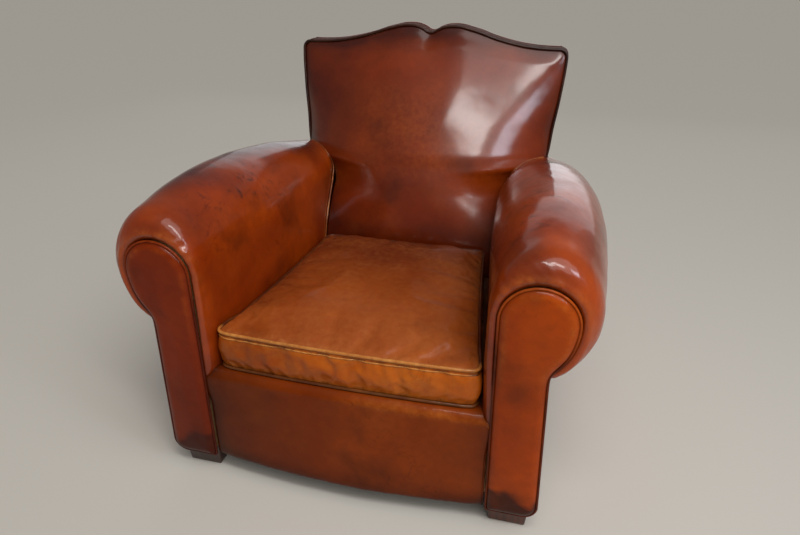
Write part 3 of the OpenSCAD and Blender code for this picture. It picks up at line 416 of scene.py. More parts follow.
def corner_in(z):
    over = np.clip(FOOT_SHOW + CORNER_R - z, 0, CORNER_R)
    return CORNER_R - np.sqrt(CORNER_R**2 - over**2)


def panel_x(y, z):
    return flank(z) * panel_share(share_of(y)) - corner_in(z)


def wall_x(y, z):
    return half_in(y) + RECESS * np.clip((ROLL_Z - z) / (ROLL_Z - TUCK_Z), 0, None) ** 2


def full_section(y):
    """Inner and outer x, rise, drop, panel x and recess of the arm at a depth."""
    return joined(half_in(y), half_out(y), lift(y), 0.9 * lift(y), panel_x(y, ROLL_Z - HEAD_DROP), RECESS)


FACING_SECTION = np.array([FACING_IN, HEAD_X + HEAD_R, HEAD_R, HEAD_DROP, NECK_X, FACING_LEAN], float)


def section_points(s, n_wall, n_roll, n_cheek):
    """Points x, z of arm sections, with the directions in which each points outwards."""
    xi, xo, rise, drop, px, recess = s.T[..., None]
    mid, r = (xi + xo) / 2, (xo - xi) / 2
    turn = np.arccos(np.clip((px - mid) / r, 0.05, 0.95))
    t = (np.arange(n_wall) / n_wall)[None]
    a = np.linspace(math.pi, 0, n_roll)[None]
    b = turn * (np.arange(1, n_cheek + 1) / n_cheek)[None]
    parts = (
        (xi + recess * (1 - t) ** 2, mix(TUCK_Z, ROLL_Z, t), -1, 0),
        (mid + r * np.cos(a), ROLL_Z + rise * np.sin(a), np.cos(a), np.sin(a)),
        (mid + r * np.cos(b), ROLL_Z - drop * np.sin(b), np.cos(b), -np.sin(b)),
    )
    return np.concatenate([joined(*part) for part in parts], 1).transpose(2, 0, 1).copy()


def back_swell(v, u, side):
    return BACK_SWELL * swell_share(v) * (side + (1 - side) * (1 - np.abs(u) ** 2.4))


def back_surface_y(x, z):
    """Depth of the front of the padded back."""
    v = (z - TUCK_Z) / (SHOULDER_Z - TUCK_Z)
    u = x / (BACK_HALF * back_half_share(z / SHOULDER_Z))
    return back_edge_y(z) - back_swell(v, np.clip(u, -1, 1), side_share(v))


def arm_piece():
    front_y = PIPE_D / 2 + GAP
    n_round, n_long = 30, 130
    a = np.linspace(0, math.pi / 2, n_round)
    full = full_section(ARM_SOFT)
    s_front = FACING_SECTION + (full - FACING_SECTION) * np.sin(a)[:, None]
    y_front = front_y + (ARM_SOFT - front_y) * (1 - np.cos(a))
    y_long = mix(ARM_SOFT, ARM_LEN, np.linspace(0, 1, n_long + 1)[1:])
    x, z, dx, dz = section_points(np.vstack([s_front, full_section(y_long)]), 30, 92, 26)
    y = np.concatenate([y_front, y_long])[:, None] + 0 * x
    # The padding swells into a soft bead all round the front edge, and dips at the seam
    s = np.zeros((len(y), 1))
    s[:n_round, 0] = np.sin(np.pi * np.clip(a / 1.45, 0, 1)) ** 1.3
    x += 3.2 * s * dx
    z += 3.2 * s * dz
    y -= 4.5 * s * (0.6 + 0.4 * smooth((z - 330) / 120))
    # The rear end follows the lean of the outside back
    past = smooth((y - 0.5 * ARM_LEN) / (0.5 * ARM_LEN))
    y -= (ARM_LEN - (back_edge_y(z) + BACK_DEPTH - COVER_T)) * past
    p = joined(x, y, z)
    join = slice(n_round - 9, n_round + 11)
    p[join] = soften(p[join], 10)
    n = normals(p, UP)
    # Lumps in the hair, puckers at the front seam, and soft creases
    depth = y - front_y
    from_seam = np.cumsum(np.linalg.norm(np.diff(p, axis=0, prepend=p[:1]), axis=-1), axis=0)
    near_seam = bell(depth, 26) * (np.arange(len(y)) > 0)[:, None]
    round_s = np.cumsum(np.linalg.norm(np.diff(p, axis=1, prepend=p[:, :1]), axis=-1), axis=1)
    around = joined(round_s, 0.35 * depth, 0)
    pucker = noise(around, 15, 5) * 1.5 + noise(around, 7, 6) * 0.55
    push = 1.5 * layered(p, 120, 2, 11) + 0.5 * layered(p, 38, 2, 12)
    push += near_seam * pucker * smooth((z - 300) / 90)
    bead = bell(from_seam - 13, 9) * smooth((z - 440) / 60)
    push += 3.2 * bell(from_seam - 10, 6.5) * smooth((z - 300) / 120)
    fine = joined(round_s, 0.8 * depth, 0)
    push += bead * (1.1 * noise(fine, 7, 7) + 0.6 * noise(fine, 3.8, 8)) * smooth(0.7 + 2 * noise(around, 60, 9))
    low_wall = smooth((360 - z) / 80) * (dx < 0)
    push += 0.8 * low_wall * noise(p, np.array([60, 26, 40.0]), 15)
    push *= smooth(np.arange(len(y)) / 3.0)[:, None]
    p += n * push[..., None]
    # Wear and grime, and painted shade: a dark line in the groove at the front seam, and darkening low on the inner
    # wall beside the seat
    top = smooth((z - ROLL_Z - 40) / 60)
    dark = np.clip(0.3 + 1.0 * layered(p, 130, 2, 21), 0, 1) * (0.15 + 0.6 * top)
    # Painted shade in the groove along the front seam
    dark += 0.5 * bell(from_seam, 4)
    # Painted shade low on the inner wall, beside the seat
    dark += 0.65 * smooth((330 - z) / 90) * (dx < 0)
    dark += 0.45 * smooth((z - 560) / 40) * smooth((y - 420) / 200)
    worn = 0.5 * bell(from_seam - 13, 9) * smooth((z - 420) / 90) * (0.6 + layered(p, 25, 2, 23))
    worn += 0.22 * smooth(0.2 - layered(p, 140, 2, 24)) * smooth((z - 380) / 60)
    middle = (half_in(y) + half_out(y)) / 2
    scar = 1.5 * patch((x - middle + 50) / 60, (y - 230) / 130) * smooth((z - 520) / 50)
    scar += 0.8 * patch((x - half_in(y)) / 14, (y - 40) / 18, (z - 395) / 16)
    return shell("arm_leather_right", p, UP, marked(dark, worn, scar=scar), lip=1.2)


def facing_outline(d, count=420):
    """Outline x, z of the right arm front, drawn in by d, with its notch softened."""
    r = HEAD_R - d
    turn = math.acos((NECK_X - d - HEAD_X) / r)
    low = FOOT_SHOW + d
    z0 = FOOT_SHOW + CORNER_R
    x0 = FLANK_X - CORNER_R
    t = np.linspace(0, 1, 60)
    inner = joined(FACING_IN + FACING_LEAN * (1 - t) + d, mix(low, ROLL_Z, t))
    head = arc(HEAD_X, ROLL_Z, r, 180, 0, 70)[1:]
    t = np.linspace(0, 1, 40)[1:]
    cheek = joined(HEAD_X + r * np.cos(turn * t), ROLL_Z - (HEAD_DROP - d) * np.sin(turn * t))
    t = np.linspace(0, 1, 60)[1:]
    side = joined(mix(NECK_X, FLANK_X, t) - d, mix(cheek[-1, 1], z0, t))
    corner = arc(x0, z0, CORNER_R - d, 0, -90, 16)[1:]
    bottom = joined(np.linspace(x0, inner[0, 0], 24)[1:-1], low)
    p = resample(np.vstack([inner, head, cheek, side, corner, bottom]), count, True)
    soft = soften(p, 60, True)
    notch = np.array([NECK_X - d, cheek[-1, 1]])
    w = smooth(1.4 - np.linalg.norm(p - notch, axis=1) / 45)[:, None]
    foot = np.array([inner[0, 0], low])
    w2 = smooth(1.2 - np.linalg.norm(p - foot, axis=1) / 10)[:, None]
    p = p * (1 - w) + soft * w
    return p * (1 - w2) + soften(p, 5, True) * w2


def distance_to(path, x, z):
    """Distance of each point x, z to a closed outline."""
    out = np.full(x.shape, 1e9)
    for (ax, az), (bx, bz) in zip(path, np.roll(path, -1, 0)):
        dx, dz = bx - ax, bz - az
        size = dx * dx + dz * dz
        if size < 1e-12:
            continue
        t = np.clip(((x - ax) * dx + (z - az) * dz) / size, 0, 1)
        out = np.minimum(out, np.hypot(x - ax - t * dx, z - az - t * dz))
    return out


PAD_ROUND = 17.0  # width over which the pad of an arm front rounds up from its piping


def facing_piece():
    edge = facing_outline(PIPE_D - 0.5)
    low, high = edge[:, 1].min(), edge[:, 1].max()
    # Rows crowd together at the two ends, and columns at the two sides
    rows = mix(low + 0.05, high - 0.05, 0.5 - 0.5 * np.cos(np.pi * np.linspace(0, 1, 150)))
    c = np.sin(np.linspace(-np.pi / 2, np.pi / 2, 61))
    xs = []
    nxt = np.roll(edge, -1, 0)
    for z in rows:
        cross = (edge[:, 1] - z) * (nxt[:, 1] - z) <= 0
        a, b = edge[cross], nxt[cross]
        s = (z - a[:, 1]) / np.where(np.abs(b[:, 1] - a[:, 1]) < 1e-9, 1e-9, b[:, 1] - a[:, 1])
        hits = a[:, 0] + np.clip(s, 0, 1) * (b[:, 0] - a[:, 0])
        xs.append((hits.min(), hits.max()))
    left, right = np.array(xs).T
    x = (left + right)[:, None] / 2 + (right - left)[:, None] / 2 * c[None]
    z = rows[:, None] + 0 * x
    far = distance_to(edge[::2], x, z)
    rise = np.clip(1 - (1 - np.clip(far / PAD_ROUND, 0, 1)) ** 2.3, 0, 1) ** 0.6
    p = joined(x, 0.3 - PAD_T * rise - 2.0 * smooth(far / 50), z)
    p[..., 1] -= rise * (0.9 * layered(p, 70, 2, 31) + 0.25 * layered(p, 22, 2, 32))
    stain_top = 128 + 34 * layered(p, 45, 2, 33) - 0.22 * (x - FACING_IN)
    # The thin dark line along the piping is painted shade in the groove there
    dark = bell(far, 2.5) * 0.35 + 1.6 * smooth((stain_top - z) / 44)
    dark += 0.18 * np.clip(layered(p, 60, 3, 34) + 0.1, 0, 1)
    worn = 0.45 * bell(far - 9, 6) * smooth((z - 300) / 160) * (0.75 + layered(p, 18, 2, 35))
    worn += 0.12 * smooth(layered(p, 120, 2, 36) + 0.2)
    rear = p.copy()
    rear[..., 1] = COVER_T - 0.5
    return closed("facing_pad_right", p, rear, marked(dark, worn))


def back_x(z):
    half = BACK_HALF * back_half_share(z / SHOULDER_Z)
    over = np.clip(z - (SHOULDER_Z - BACK_CORNER_R), 0, BACK_CORNER_R)
    return half - BACK_CORNER_R + np.sqrt(BACK_CORNER_R**2 - over**2)


def crest_z(u):
    return SHOULDER_Z + CREST_RISE * crest_share(np.abs(u) * (BACK_HALF - BACK_CORNER_R) / BACK_HALF)


def crest_outline(d, low, count):
    """Outline x, z of the back above the arms, from right to left."""
    r = BACK_CORNER_R
    z = np.linspace(low, SHOULDER_Z - r, 90)
    side = joined(back_x(z) - d, z)
    corner = arc(BACK_HALF - r, SHOULDER_Z - r, r - d, 0, 90, 14)[1:-1]
    x = np.linspace(BACK_HALF - r, 0, 120)
    top = joined(x, SHOULDER_Z + CREST_RISE * crest_share(x / BACK_HALF) - d)
    right = np.vstack([side, corner, top])
    left = right[:-1][::-1] * [-1, 1]
    return resample(np.vstack([right, left]), count)


def back_rows(low, inset, n_low):
    """Rows over the back that bend to the crest near the top, as V, U, z at the sides and z."""
    v = np.concatenate([np.linspace(0, 0.93, n_low), np.linspace(0.93, 1, 22)[1:]])
    V, U = grid(v, crowded(141))
    side_z = mix(low, SHOULDER_Z, V)
    z = side_z + (crest_z(U) - inset - SHOULDER_Z) * V**6
    return V, U, side_z, z


def inside_back_piece():
    inset = BACK_PIPE_D - 1
    V, U, side_z, z = back_rows(TUCK_Z, inset, 104)
    half = back_x(side_z) - inset
    blur = ((-0.08, 0.12), (-0.04, 0.23), (0, 0.3), (0.04, 0.23), (0.08, 0.12))
    side = sum(w * side_share(V + k) for k, w in blur)
    # Under the notch of the crest the padding swells as if the crest were smooth there
    reach = np.linspace(-1, 1, 401)
    weights = bell(reach, 0.16)
    soft = np.convolve(np.pad(crest_z(reach), 200, "edge"), weights / weights.sum(), "valid")
    steps = np.linspace(0, 1, 200)
    V_soft = V.copy()
    for c in range(V.shape[1]):
        top = np.interp(U[0, c], reach, soft) + 4
        line = mix(TUCK_Z, SHOULDER_Z, steps) + (top - inset - SHOULDER_Z) * steps**6
        V_soft[:, c] = np.interp(z[:, c], line, steps)
    below = (1 - V) * (SHOULDER_Z - TUCK_Z)
    out = back_swell(V_soft, U, side) * smooth(below / 34) ** 0.6
    p = joined(half * U, back_edge_y(z) - out, z)
    # The edges round down to the piping
    far = np.minimum(half * (1 - np.abs(U)), np.clip(below, 0, None))
    free = smooth((z - 520) / 40)
    edge = np.exp(-far / 15)
    p[..., 1] -= free * (4.0 * (1 - edge) - 1.0 * edge)
    calm = smooth(far / 40)
    push = 1.1 * layered(p, 150, 2, 41) + 0.16 * layered(p, 30, 2, 42) * calm
    # Fine crinkles in the upper right, where the light catches them
    push += 0.10 * patch((p[..., 0] - 120) / 120, (z - 700) / 90) * noise(p, np.array([9, 20, 26.0]), 43)
    p = pushed(p, FRONT, push)
    # Painted shade: the left side is darker, away from the light, and the low part by the seat is darker; the sides
    # and the crest edge are darker too
    left = smooth((40 - p[..., 0]) / 260)
    dark = 0.42 * left + 0.75 * np.exp(-far / 16) + 0.5 * smooth((440 - z) / 90)
    dark += 0.30 * layered(p, 130, 3, 45) + 0.35 * smooth((z - 760) / 60)
    worn = 0.45 * patch(p[..., 0] / 190, (z - 600) / 110) + 0.3 * layered(p, 90, 2, 46)
    return shell("inside_back_leather", p, FRONT, marked(dark, worn))


def leaned(xz, depth):
    return joined(xz[:, 0], back_edge_y(xz[:, 1]) + depth, xz[:, 1])


MEET_Z = ROLL_Z + 1.1 * ARM_RISE * REAR_SHARE


def back_band_piece():
    low = MEET_Z - 8
    front, rear = BACK_PIPE_D / 2 + GAP, BACK_DEPTH - COVER_T - GAP
    outline = crest_outline(0.6, low, 420)
    inward = crest_outline(6, low, 420)
    rows = []
    for t in np.linspace(0, 1, 18):
        # The edges draw in a little at the two seams
        drawn = max(0, 0.45 - 0.35 * math.sin(math.pi * t)) * 0.5
        rows.append(leaned(outline + (inward - outline) * drawn, mix(front, rear, t)))
    p = np.array(rows)
    p = pushed(p, UP, 0.35 * layered(p, 45, 2, 51))
    worn = np.clip(0.2 + 0.6 * layered(p, 35, 2, 53), 0, 1) * 0.6
    return shell("back_band_leather", p, UP, marked(0.45 + 0.5 * layered(p, 60, 3, 52), worn), 2.4, 0.6)


def rear_section_x(y, z):
    xi, xo, rise, drop, _, _ = np.moveaxis(full_section(y), -1, 0)
    fall = np.where(z > ROLL_Z, (z - ROLL_Z) / rise, (ROLL_Z - z) / drop)
    return (xi + xo) / 2 + (xo - xi) / 2 * np.sqrt(np.clip(1 - np.clip(fall, 0, 1) ** 2, 0, 1))


def roll_foot_z(y):
    xi, xo, _, drop, px, _ = np.moveaxis(full_section(y), -1, 0)
    turn = np.arccos(np.clip((px - (xi + xo) / 2) / ((xo - xi) / 2), 0.05, 0.95))
    return ROLL_Z - drop * np.sin(turn)


def rear_x(z):
    y = back_edge_y(z) + BACK_DEPTH
    foot = roll_foot_z(y)
    roll = np.maximum(rear_section_x(y, z), back_x(z))
    return np.where(z < foot, panel_x(y, z), np.where(z < ROLL_Z + lift(y), roll, back_x(z)))


def panel_marks(p, z, far, base, size, fade, seed):
    dark = base + 0.6 * layered(p, size, 3, seed) + 0.5 * np.exp(-far / fade) + 0.4 * smooth((130 - z) / 80)
    return marked(dark, 0.25 + 0.5 * layered(p, 70, 2, seed + 1))


def outside_back_piece():
    V, U, side_z, z = back_rows(BORDER_LOW, 0.4, 150)
    half = soften(rear_x(side_z[:, 0])[:, None], 2)[:, 0][:, None] - 0.4
    p = joined(half * U, back_edge_y(z) + BACK_DEPTH, z)
    far = np.minimum(half * (1 - np.abs(U)), np.minimum((1 - V), V) * (SHOULDER_Z - BORDER_LOW))
    p[..., 1] += -1.2 * np.exp(-far / 4) - 2.2 * smooth(far / 150)
    p[..., 1] += smooth(far / 30) * (1.0 * layered(p, 170, 2, 61) + 0.3 * layered(p, 45, 2, 62))
    return shell("outside_back_leather", p, REAR, panel_marks(p, z, far, 0.35, 110, 18, 63), 2.6, 1.0)


def outside_arm_piece():
    T, V = grid(np.linspace(0, 1, 130), np.linspace(0, 1, 60))
    y0 = PIPE_D / 2 + GAP
    end = BACK_FOOT_Y + BACK_DEPTH - COVER_T - 0.3
    y_guess = mix(y0, ARM_LEN, T)
    front_top = ROLL_Z - HEAD_DROP * math.sin(math.acos((NECK_X - HEAD_X) / HEAD_R))
    rounded = np.sin(np.pi / 2 * np.clip(y_guess / ARM_SOFT, 0, 1))
    top = np.where(y_guess < ARM_SOFT, mix(front_top, roll_foot_z(ARM_SOFT), rounded), roll_foot_z(y_guess))
    z = mix(BORDER_LOW, top + 2.5, V)
    y = mix(y0, end + z * SLOPE, T)
    x = panel_x(y, z)
    p = joined(x, y, z)
    far = np.minimum(np.minimum(T, 1 - T) * 650, np.minimum(V, 1 - V) * 300)
    push = -2.5 * smooth(far / 110) + smooth(far / 30) * (0.9 * layered(p, 150, 2, 71) + 0.3 * layered(p, 40, 2, 72))
    p = pushed(p, RIGHT, push)
    return shell("outside_arm_leather_right", p, RIGHT, panel_marks(p, z, far, 0.3, 100, 16, 73), 2.6)


def facing_edge(z):
    return FACING_IN + FACING_LEAN * (ROLL_Z - z) / (ROLL_Z - FOOT_SHOW)


def border_y(z, u):
    """Depth of the bowed front border at a height and a share of its half width."""
    up = (z - BORDER_LOW) / (DECK_Z - BORDER_LOW)
    return COVER_T * up - mix(BORDER_BOW, BORDER_BOW_TOP, up) * (1 - u * u)


def border_piece():
    u = np.concatenate([[-1, -1, -1], crowded(161), [1, 1, 1]])
    turn = np.zeros(len(u))
    turn[:3], turn[-3:] = (16, 10, 4), (4, 10, 16)
    roll_low = DECK_Z - BORDER_R
    rows = []
    for z in (BORDER_LOW, *np.linspace(BORDER_LOW + 1.5, roll_low, 58)):
        y = border_y(z, u) + 3.0 * math.exp(-(z - BORDER_LOW) / 4.0) + turn
        y = y - 4.0 * smooth((z - 190) / 60) * np.abs(u) ** 8
        x = u * (facing_edge(z) - 0.2 + 5 * smooth((z - 170) / 70) - 0.05 * turn)
        rows.append(joined(x, y, z))
    y_roll = border_y(roll_low, u) + BORDER_R + turn - 4.0 * np.abs(u) ** 8
    half_low, half_top = facing_edge(roll_low) + 4.8, wall_x(ARM_ROUND, DECK_Z) + 2
    for a in np.radians(np.linspace(0, 90, 20)[1:]):
        half = mix(half_low, half_top, smooth(math.sin(a)))
        z = roll_low + BORDER_R * math.sin(a)
        rows.append(joined(u * half, y_roll - BORDER_R * math.cos(a), z))
    for t in np.linspace(0, 1, 14)[1:]:
        rows.append(joined(u * half_top, mix(y_roll, 56, t), DECK_Z - 0.6 * t))
    p = np.array(rows)
    z = p[..., 2]
    far = (1 - np.abs(u))[None] * 280 + 0 * z
    calm = smooth(far / 30) * smooth((DECK_Z - z + 4) / 14)
    push = calm * (1.6 * layered(p, 130, 2, 81) + 0.35 * layered(p, 40, 2, 82))
    # Short puckers along the lower edge and at the ends
    low = np.exp(-(z - BORDER_LOW) / 22)
    push += 0.8 * low * noise(p, np.array([22, 60, 60.0]), 83)
    push -= 3.2 * np.exp(-far / 6) * smooth((DECK_Z - z) / 20)
    crest = bell(z - 264, 9) * smooth((p[..., 0] + 60) / 120) * calm
    push += crest * (0.5 * noise(p, 9, 88) + 0.25 * noise(p, 4.5, 89))
    push += 0.9 * np.exp(-far / 30) * noise(p, np.array([60, 60, 26.0]), 84)
    p = pushed(p, FRONT, push)
    # Darker towards the bottom. Painted shade: at both ends beside the arm fronts, on the left away from the light,
    # and where the top runs back under the cushion
    dark = 0.6 * smooth((100 - z) / 50) + 0.6 * np.exp(-far / 18) + 0.2 * layered(p, 120, 2, 85)
    dark += 0.45 * smooth((-p[..., 0] - 60) / 200) + 0.5 * smooth((p[..., 1] - 22) / 12)
    # Painted highlight, with some wear: a lighter band along the top edge, on the right only, where the light catches
    # it
    rubbed_and_lit_top_edge = bell(z - 262, 9) * (p[..., 1] < 12)
    worn = rubbed_and_lit_top_edge * (0.5 + 0.8 * layered(p, 40, 2, 86)) * smooth((p[..., 0] + 40) / 160)
    worn += 0.2 * layered(p, 110, 2, 87)
    return shell("front_border_leather", p, FRONT, marked(dark, worn))


def seat_grid(rows, cols, inset, eased=False):
    """A grid x, y over the seat between the arms, with its distance to the edges."""
    t, u = grid(np.linspace(0, 1, rows), np.linspace(-1, 1, cols))
    if eased:
        t, u = 0.5 - 0.5 * np.cos(np.pi * t), np.sin(u * np.pi / 2)
    y = mix(SEAT_FRONT, SEAT_REAR, t)
    return u * (wall_x(y, DECK_Z) - inset), y, np.minimum((1 - np.abs(u)) * 240, np.minimum(t, 1 - t) * 470)


def deck_piece():
    x, y, far = seat_grid(60, 70, 1)
    p = joined(x, y, DECK_Z - 1.6 * smooth(far / 60) - 0.4)
    p[..., 2] += smooth(far / 30) * np.clip(0.7 * layered(p, 60, 3, 91), -1.2, 1.2)
    marks = marked(0.5 + 0.6 * layered(p, 80, 3, 92), 0.3 + 0.6 * layered(p, 50, 2, 93))
    return shell("deck_leather_sheet", p, UP, marks, 2.2, 0.4)


# Cushion


def cushion_half(v):
    return mix(CUSHION_W, CUSHION_BACK_W, v) / 2 - CUSHION_DRAW * np.sin(np.pi * v)


def cushion_outline(d, count):
    r = CUSHION_R
    v_of = 1 / CUSHION_LEN
    lo, hi = CUSHION_Y, CUSHION_Y + CUSHION_LEN
    u = np.linspace(0, 1, 30)[:-1] * (cushion_half(r * v_of) - r) / cushion_half(0)
    front = joined(u * cushion_half(0), lo - CUSHION_Y / 2 * (1 - u * u) + d)
    c1 = arc(cushion_half(r * v_of) - r, lo + r, r - d, -90, 0, 14)
    t = np.linspace(r * v_of, 1 - r * v_of, 60)[1:-1]
    side = joined(cushion_half(t) - d, lo + CUSHION_LEN * t)
    c2 = arc(cushion_half(1 - r * v_of) - r, hi - r, r - d, 0, 90, 14)
    rear = joined(np.linspace(c2[-1, 0], 0, 24)[1:], hi - d)
    right = np.vstack([front, c1, side, c2, rear])
    left = right[1:-1][::-1] * [-1, 1]
    return resample(np.vstack([right, left]), count, True)


def coons(boundary, n, m):
    """Fills a closed outline, which has 2(n + m) points and starts at a corner, with a grid."""
    b = boundary
    front, right = b[: n + 1], b[n : n + m + 1]
    back = b[n + m : 2 * n + m + 1][::-1]
    left = np.vstack([b[2 * n + m :], b[:1]])[::-1]
    s = np.linspace(0, 1, n + 1)[None, :, None]
    t = np.linspace(0, 1, m + 1)[:, None, None]
    ruled_t = (1 - t) * front[None] + t * back[None]
    ruled_s = (1 - s) * left[:, None] + s * right[:, None]
    corners = (1 - s) * (1 - t) * front[0] + s * (1 - t) * front[-1] + (1 - s) * t * back[0] + s * t * back[-1]
    return ruled_t + ruled_s - corners


def cushion_boundary(d, n, m):
    """The outline from above as 2(n + m) points that start at the front left corner."""
    p = cushion_outline(d, 2000)
    front, rear, y0, y1 = cushion_half(0.01), cushion_half(1), CUSHION_Y + 4, CUSHION_Y + CUSHION_LEN - 4
    corners = ((-front, y0), (front, y0), (rear, y1), (-rear, y1))
    stops = [np.argmin(np.linalg.norm(p - corner, axis=1)) for corner in corners]
    p = np.vstack([p, p])
    parts = []
    for a, b, count in zip(stops, stops[1:] + stops[:1], (n, m, n, m)):
        parts.append(resample(p[a : b + 1 if b > a else b + 2001], count + 1)[:-1])
    return np.vstack(parts)


CUSHION_MID = np.array([0, CUSHION_Y + CUSHION_LEN / 2])


def cushion_mesh():
    """Points, faces and the seam's pins of the closed cushion before it is filled."""
    n, m, high = 76, 72, 15
    inset = CUSHION_PIPE_D - 1.5
    edge = cushion_boundary(inset, n, m)
    flat = coons(edge, n, m)
    i, j = np.arange(n + 1), np.arange(m + 1)
    far = np.minimum(np.minimum(i, n - i)[None] / (n / 2), np.minimum(j, m - j)[:, None] / (m / 2))
    crown = 17 * (1 - (1 - far) ** 4)
    top = joined(flat[..., 0], flat[..., 1], PIPE_Z + crown)
    low_z = REST_Z + CUSHION_PIPE_D / 2
    under = joined(flat[..., 0], flat[..., 1], low_z - 3.6 * smooth(far * 6))
    size = (n + 1) * (m + 1)
    ids = np.arange(size).reshape(m + 1, n + 1)
    ring = np.concatenate([ids[0, :-1], ids[:-1, -1], ids[-1, :0:-1], ids[:0:-1, 0]])
    points, loops, at = [top.reshape(-1, 3)], [ring], size
    outward = unit(edge - CUSHION_MID)
    for t in np.arange(1, high) / high:
        bulged = edge + outward * 3.5 * math.sin(math.pi * t)
        points.append(joined(*bulged.T, mix(PIPE_Z, low_z, t)))
        loops.append(np.arange(at, at + len(edge)))
        at += len(edge)
    points.append(under.reshape(-1, 3))
    loops.append(at + ring)
    faces = grid_faces(m + 1, n + 1)
    for a, b in zip(loops, loops[1:]):
        faces += joined(a, b, np.roll(b, -1), np.roll(a, -1)).tolist()
    faces += grid_faces(m + 1, n + 1, at, True)
    return np.vstack(points), faces, set(ring.tolist()) | set((at + ids).ravel().tolist()), size, loops


CLOTH_FRAMES, CLOTH_CAP = 20, 24  # frames of the simulation, and how far a point may move


def fill_cushion(points, faces, pins):
    """Blows the cushion up as cloth round its fixed seams, and returns its new points."""
    mesh = bpy.data.meshes.new("cushion_cloth")
    mesh.from_pydata(placed(points), [], faces)
    mesh.update()
    obj = add("cushion_cloth", mesh)
    group = obj.vertex_groups.new(name="pins")
    group.add(sorted(pins), 1.0, "REPLACE")
    mod = obj.modifiers.new("Cloth", "CLOTH")
    adjust(
        mod.settings, quality=8, mass=0.4, tension_stiffness=40, compression_stiffness=40, shear_stiffness=20,
        bending_stiffness=6, use_pressure=True, uniform_pressure_force=4, vertex_group_mass="pins", pin_stiffness=1,
        shrink_min=-0.035,
    ).effector_weights.gravity = 0
    adjust(mod.collision_settings, use_collision=False, use_self_collision=False)
    scene = bpy.context.scene
    mod.point_cache.frame_start, mod.point_cache.frame_end = 1, CLOTH_FRAMES
    for f in range(1, CLOTH_FRAMES + 1):
        scene.frame_set(f)
    done = obj.evaluated_get(bpy.context.evaluated_depsgraph_get())
    out = np.zeros(len(points) * 3)
    done.data.vertices.foreach_get("co", out)
    out = out.reshape(-1, 3) * 1000
    out[:, 1] += MIDDLE_Y
    bpy.data.objects.remove(obj)
    scene.frame_set(1)
    return out


def cushion_pieces():
    start, faces, pins, n_top, loops = cushion_mesh()
    step = fill_cushion(start, faces, pins) - start
    size = np.linalg.norm(step, axis=1, keepdims=True)
    points = start + step * np.minimum(1, CLOTH_CAP / np.maximum(size, 1e-9))
    return points, faces, loops, n_top


# Materials


def rgb(r, g, b):
    """A colour as it looks on screen, 0 to 255, as the linear values that nodes take."""
    return tuple(((c / 255 + 0.055) / 1.055) ** 2.4 if c > 10 else c / 255 / 12.92 for c in (r, g, b)) + (1.0,)


class Graph:
    """A material and short ways to add nodes to it."""

    def __init__(self, name):
        self.mat = bpy.data.materials.new(name)
        self.mat.use_nodes = True
        self.tree = self.mat.node_tree
        self.tree.nodes.clear()
        self.shader = self.tree.nodes.new("ShaderNodeBsdfPrincipled")
        out = self.tree.nodes.new("ShaderNodeOutputMaterial")
        self.tree.links.new(self.shader.outputs[0], out.inputs[0])
        self.where = self.node("TexCoord", {})["Object"]

    def put(self, socket, value):
        if isinstance(value, bpy.types.NodeSocket):
            self.tree.links.new(value, socket)
        else:
            socket.default_value = value

    def node(self, kind, inputs, **options):
        """Adds a node, whose inputs are values or outputs of other nodes, and returns its outputs."""
        node = adjust(self.tree.nodes.new("ShaderNode" + kind), **options)
        for key, value in inputs.items():
            self.put(node.inputs[key], value)
        return node.outputs

    def stretched(self, scale, turn=(0, 0, 0)):
        turn = [math.radians(a) for a in turn]
        return self.node("Mapping", {"Vector": self.where, "Scale": scale, "Rotation": turn})[0]

    def noise(self, scale, detail=3, rough=0.5, distort=0.0, where=None):
        shape = {"Scale": scale, "Detail": detail, "Roughness": rough, "Distortion": distort}
        return self.node("TexNoise", {"Vector": where or self.where, **shape})[0]

    def cells(self, scale, feature="DISTANCE_TO_EDGE"):
        return self.node("TexVoronoi", {"Vector": self.where, "Scale": scale}, feature=feature)["Distance"]

    def waves(self, scale, axis, distort, detail=2, where=None):
        shape = {"Scale": scale, "Distortion": distort, "Detail": detail}
        return self.node("TexWave", {"Vector": where or self.where, **shape}, bands_direction=axis)["Fac"]

    def mark(self, name):
        return self.node("Attribute", {}, attribute_name=name)["Fac"]

    def math(self, what, a, b=0.0, clamp=False):
        return self.node("Math", {0: a, 1: b}, operation=what, use_clamp=clamp)[0]

    def times(self, a, b, clamp=False):
        return self.math("MULTIPLY", a, b, clamp)

    def span(self, value, low, high, out_low=0.0, out_high=1.0, smooth_step=False):
        limits = {"From Min": low, "From Max": high, "To Min": out_low, "To Max": out_high}
        kind = "SMOOTHSTEP" if smooth_step else "LINEAR"
        return self.node("MapRange", {"Value": value, **limits}, interpolation_type=kind)["Result"]

    def blend(self, amount, a, b):
        return self.node("Mix", {0: amount, 6: a, 7: b}, data_type="RGBA", clamp_factor=True)[2]

    def bump(self, height, distance, strength, on=None):
        below = {} if on is None else {"Normal": on}
        return self.node("Bump", {"Strength": strength, "Distance": distance, "Height": height, **below})[0]

    def set(self, **values):
        for key, value in values.items():
            self.put(self.shader.inputs[key.replace("_", " ")], value)
        return self.mat


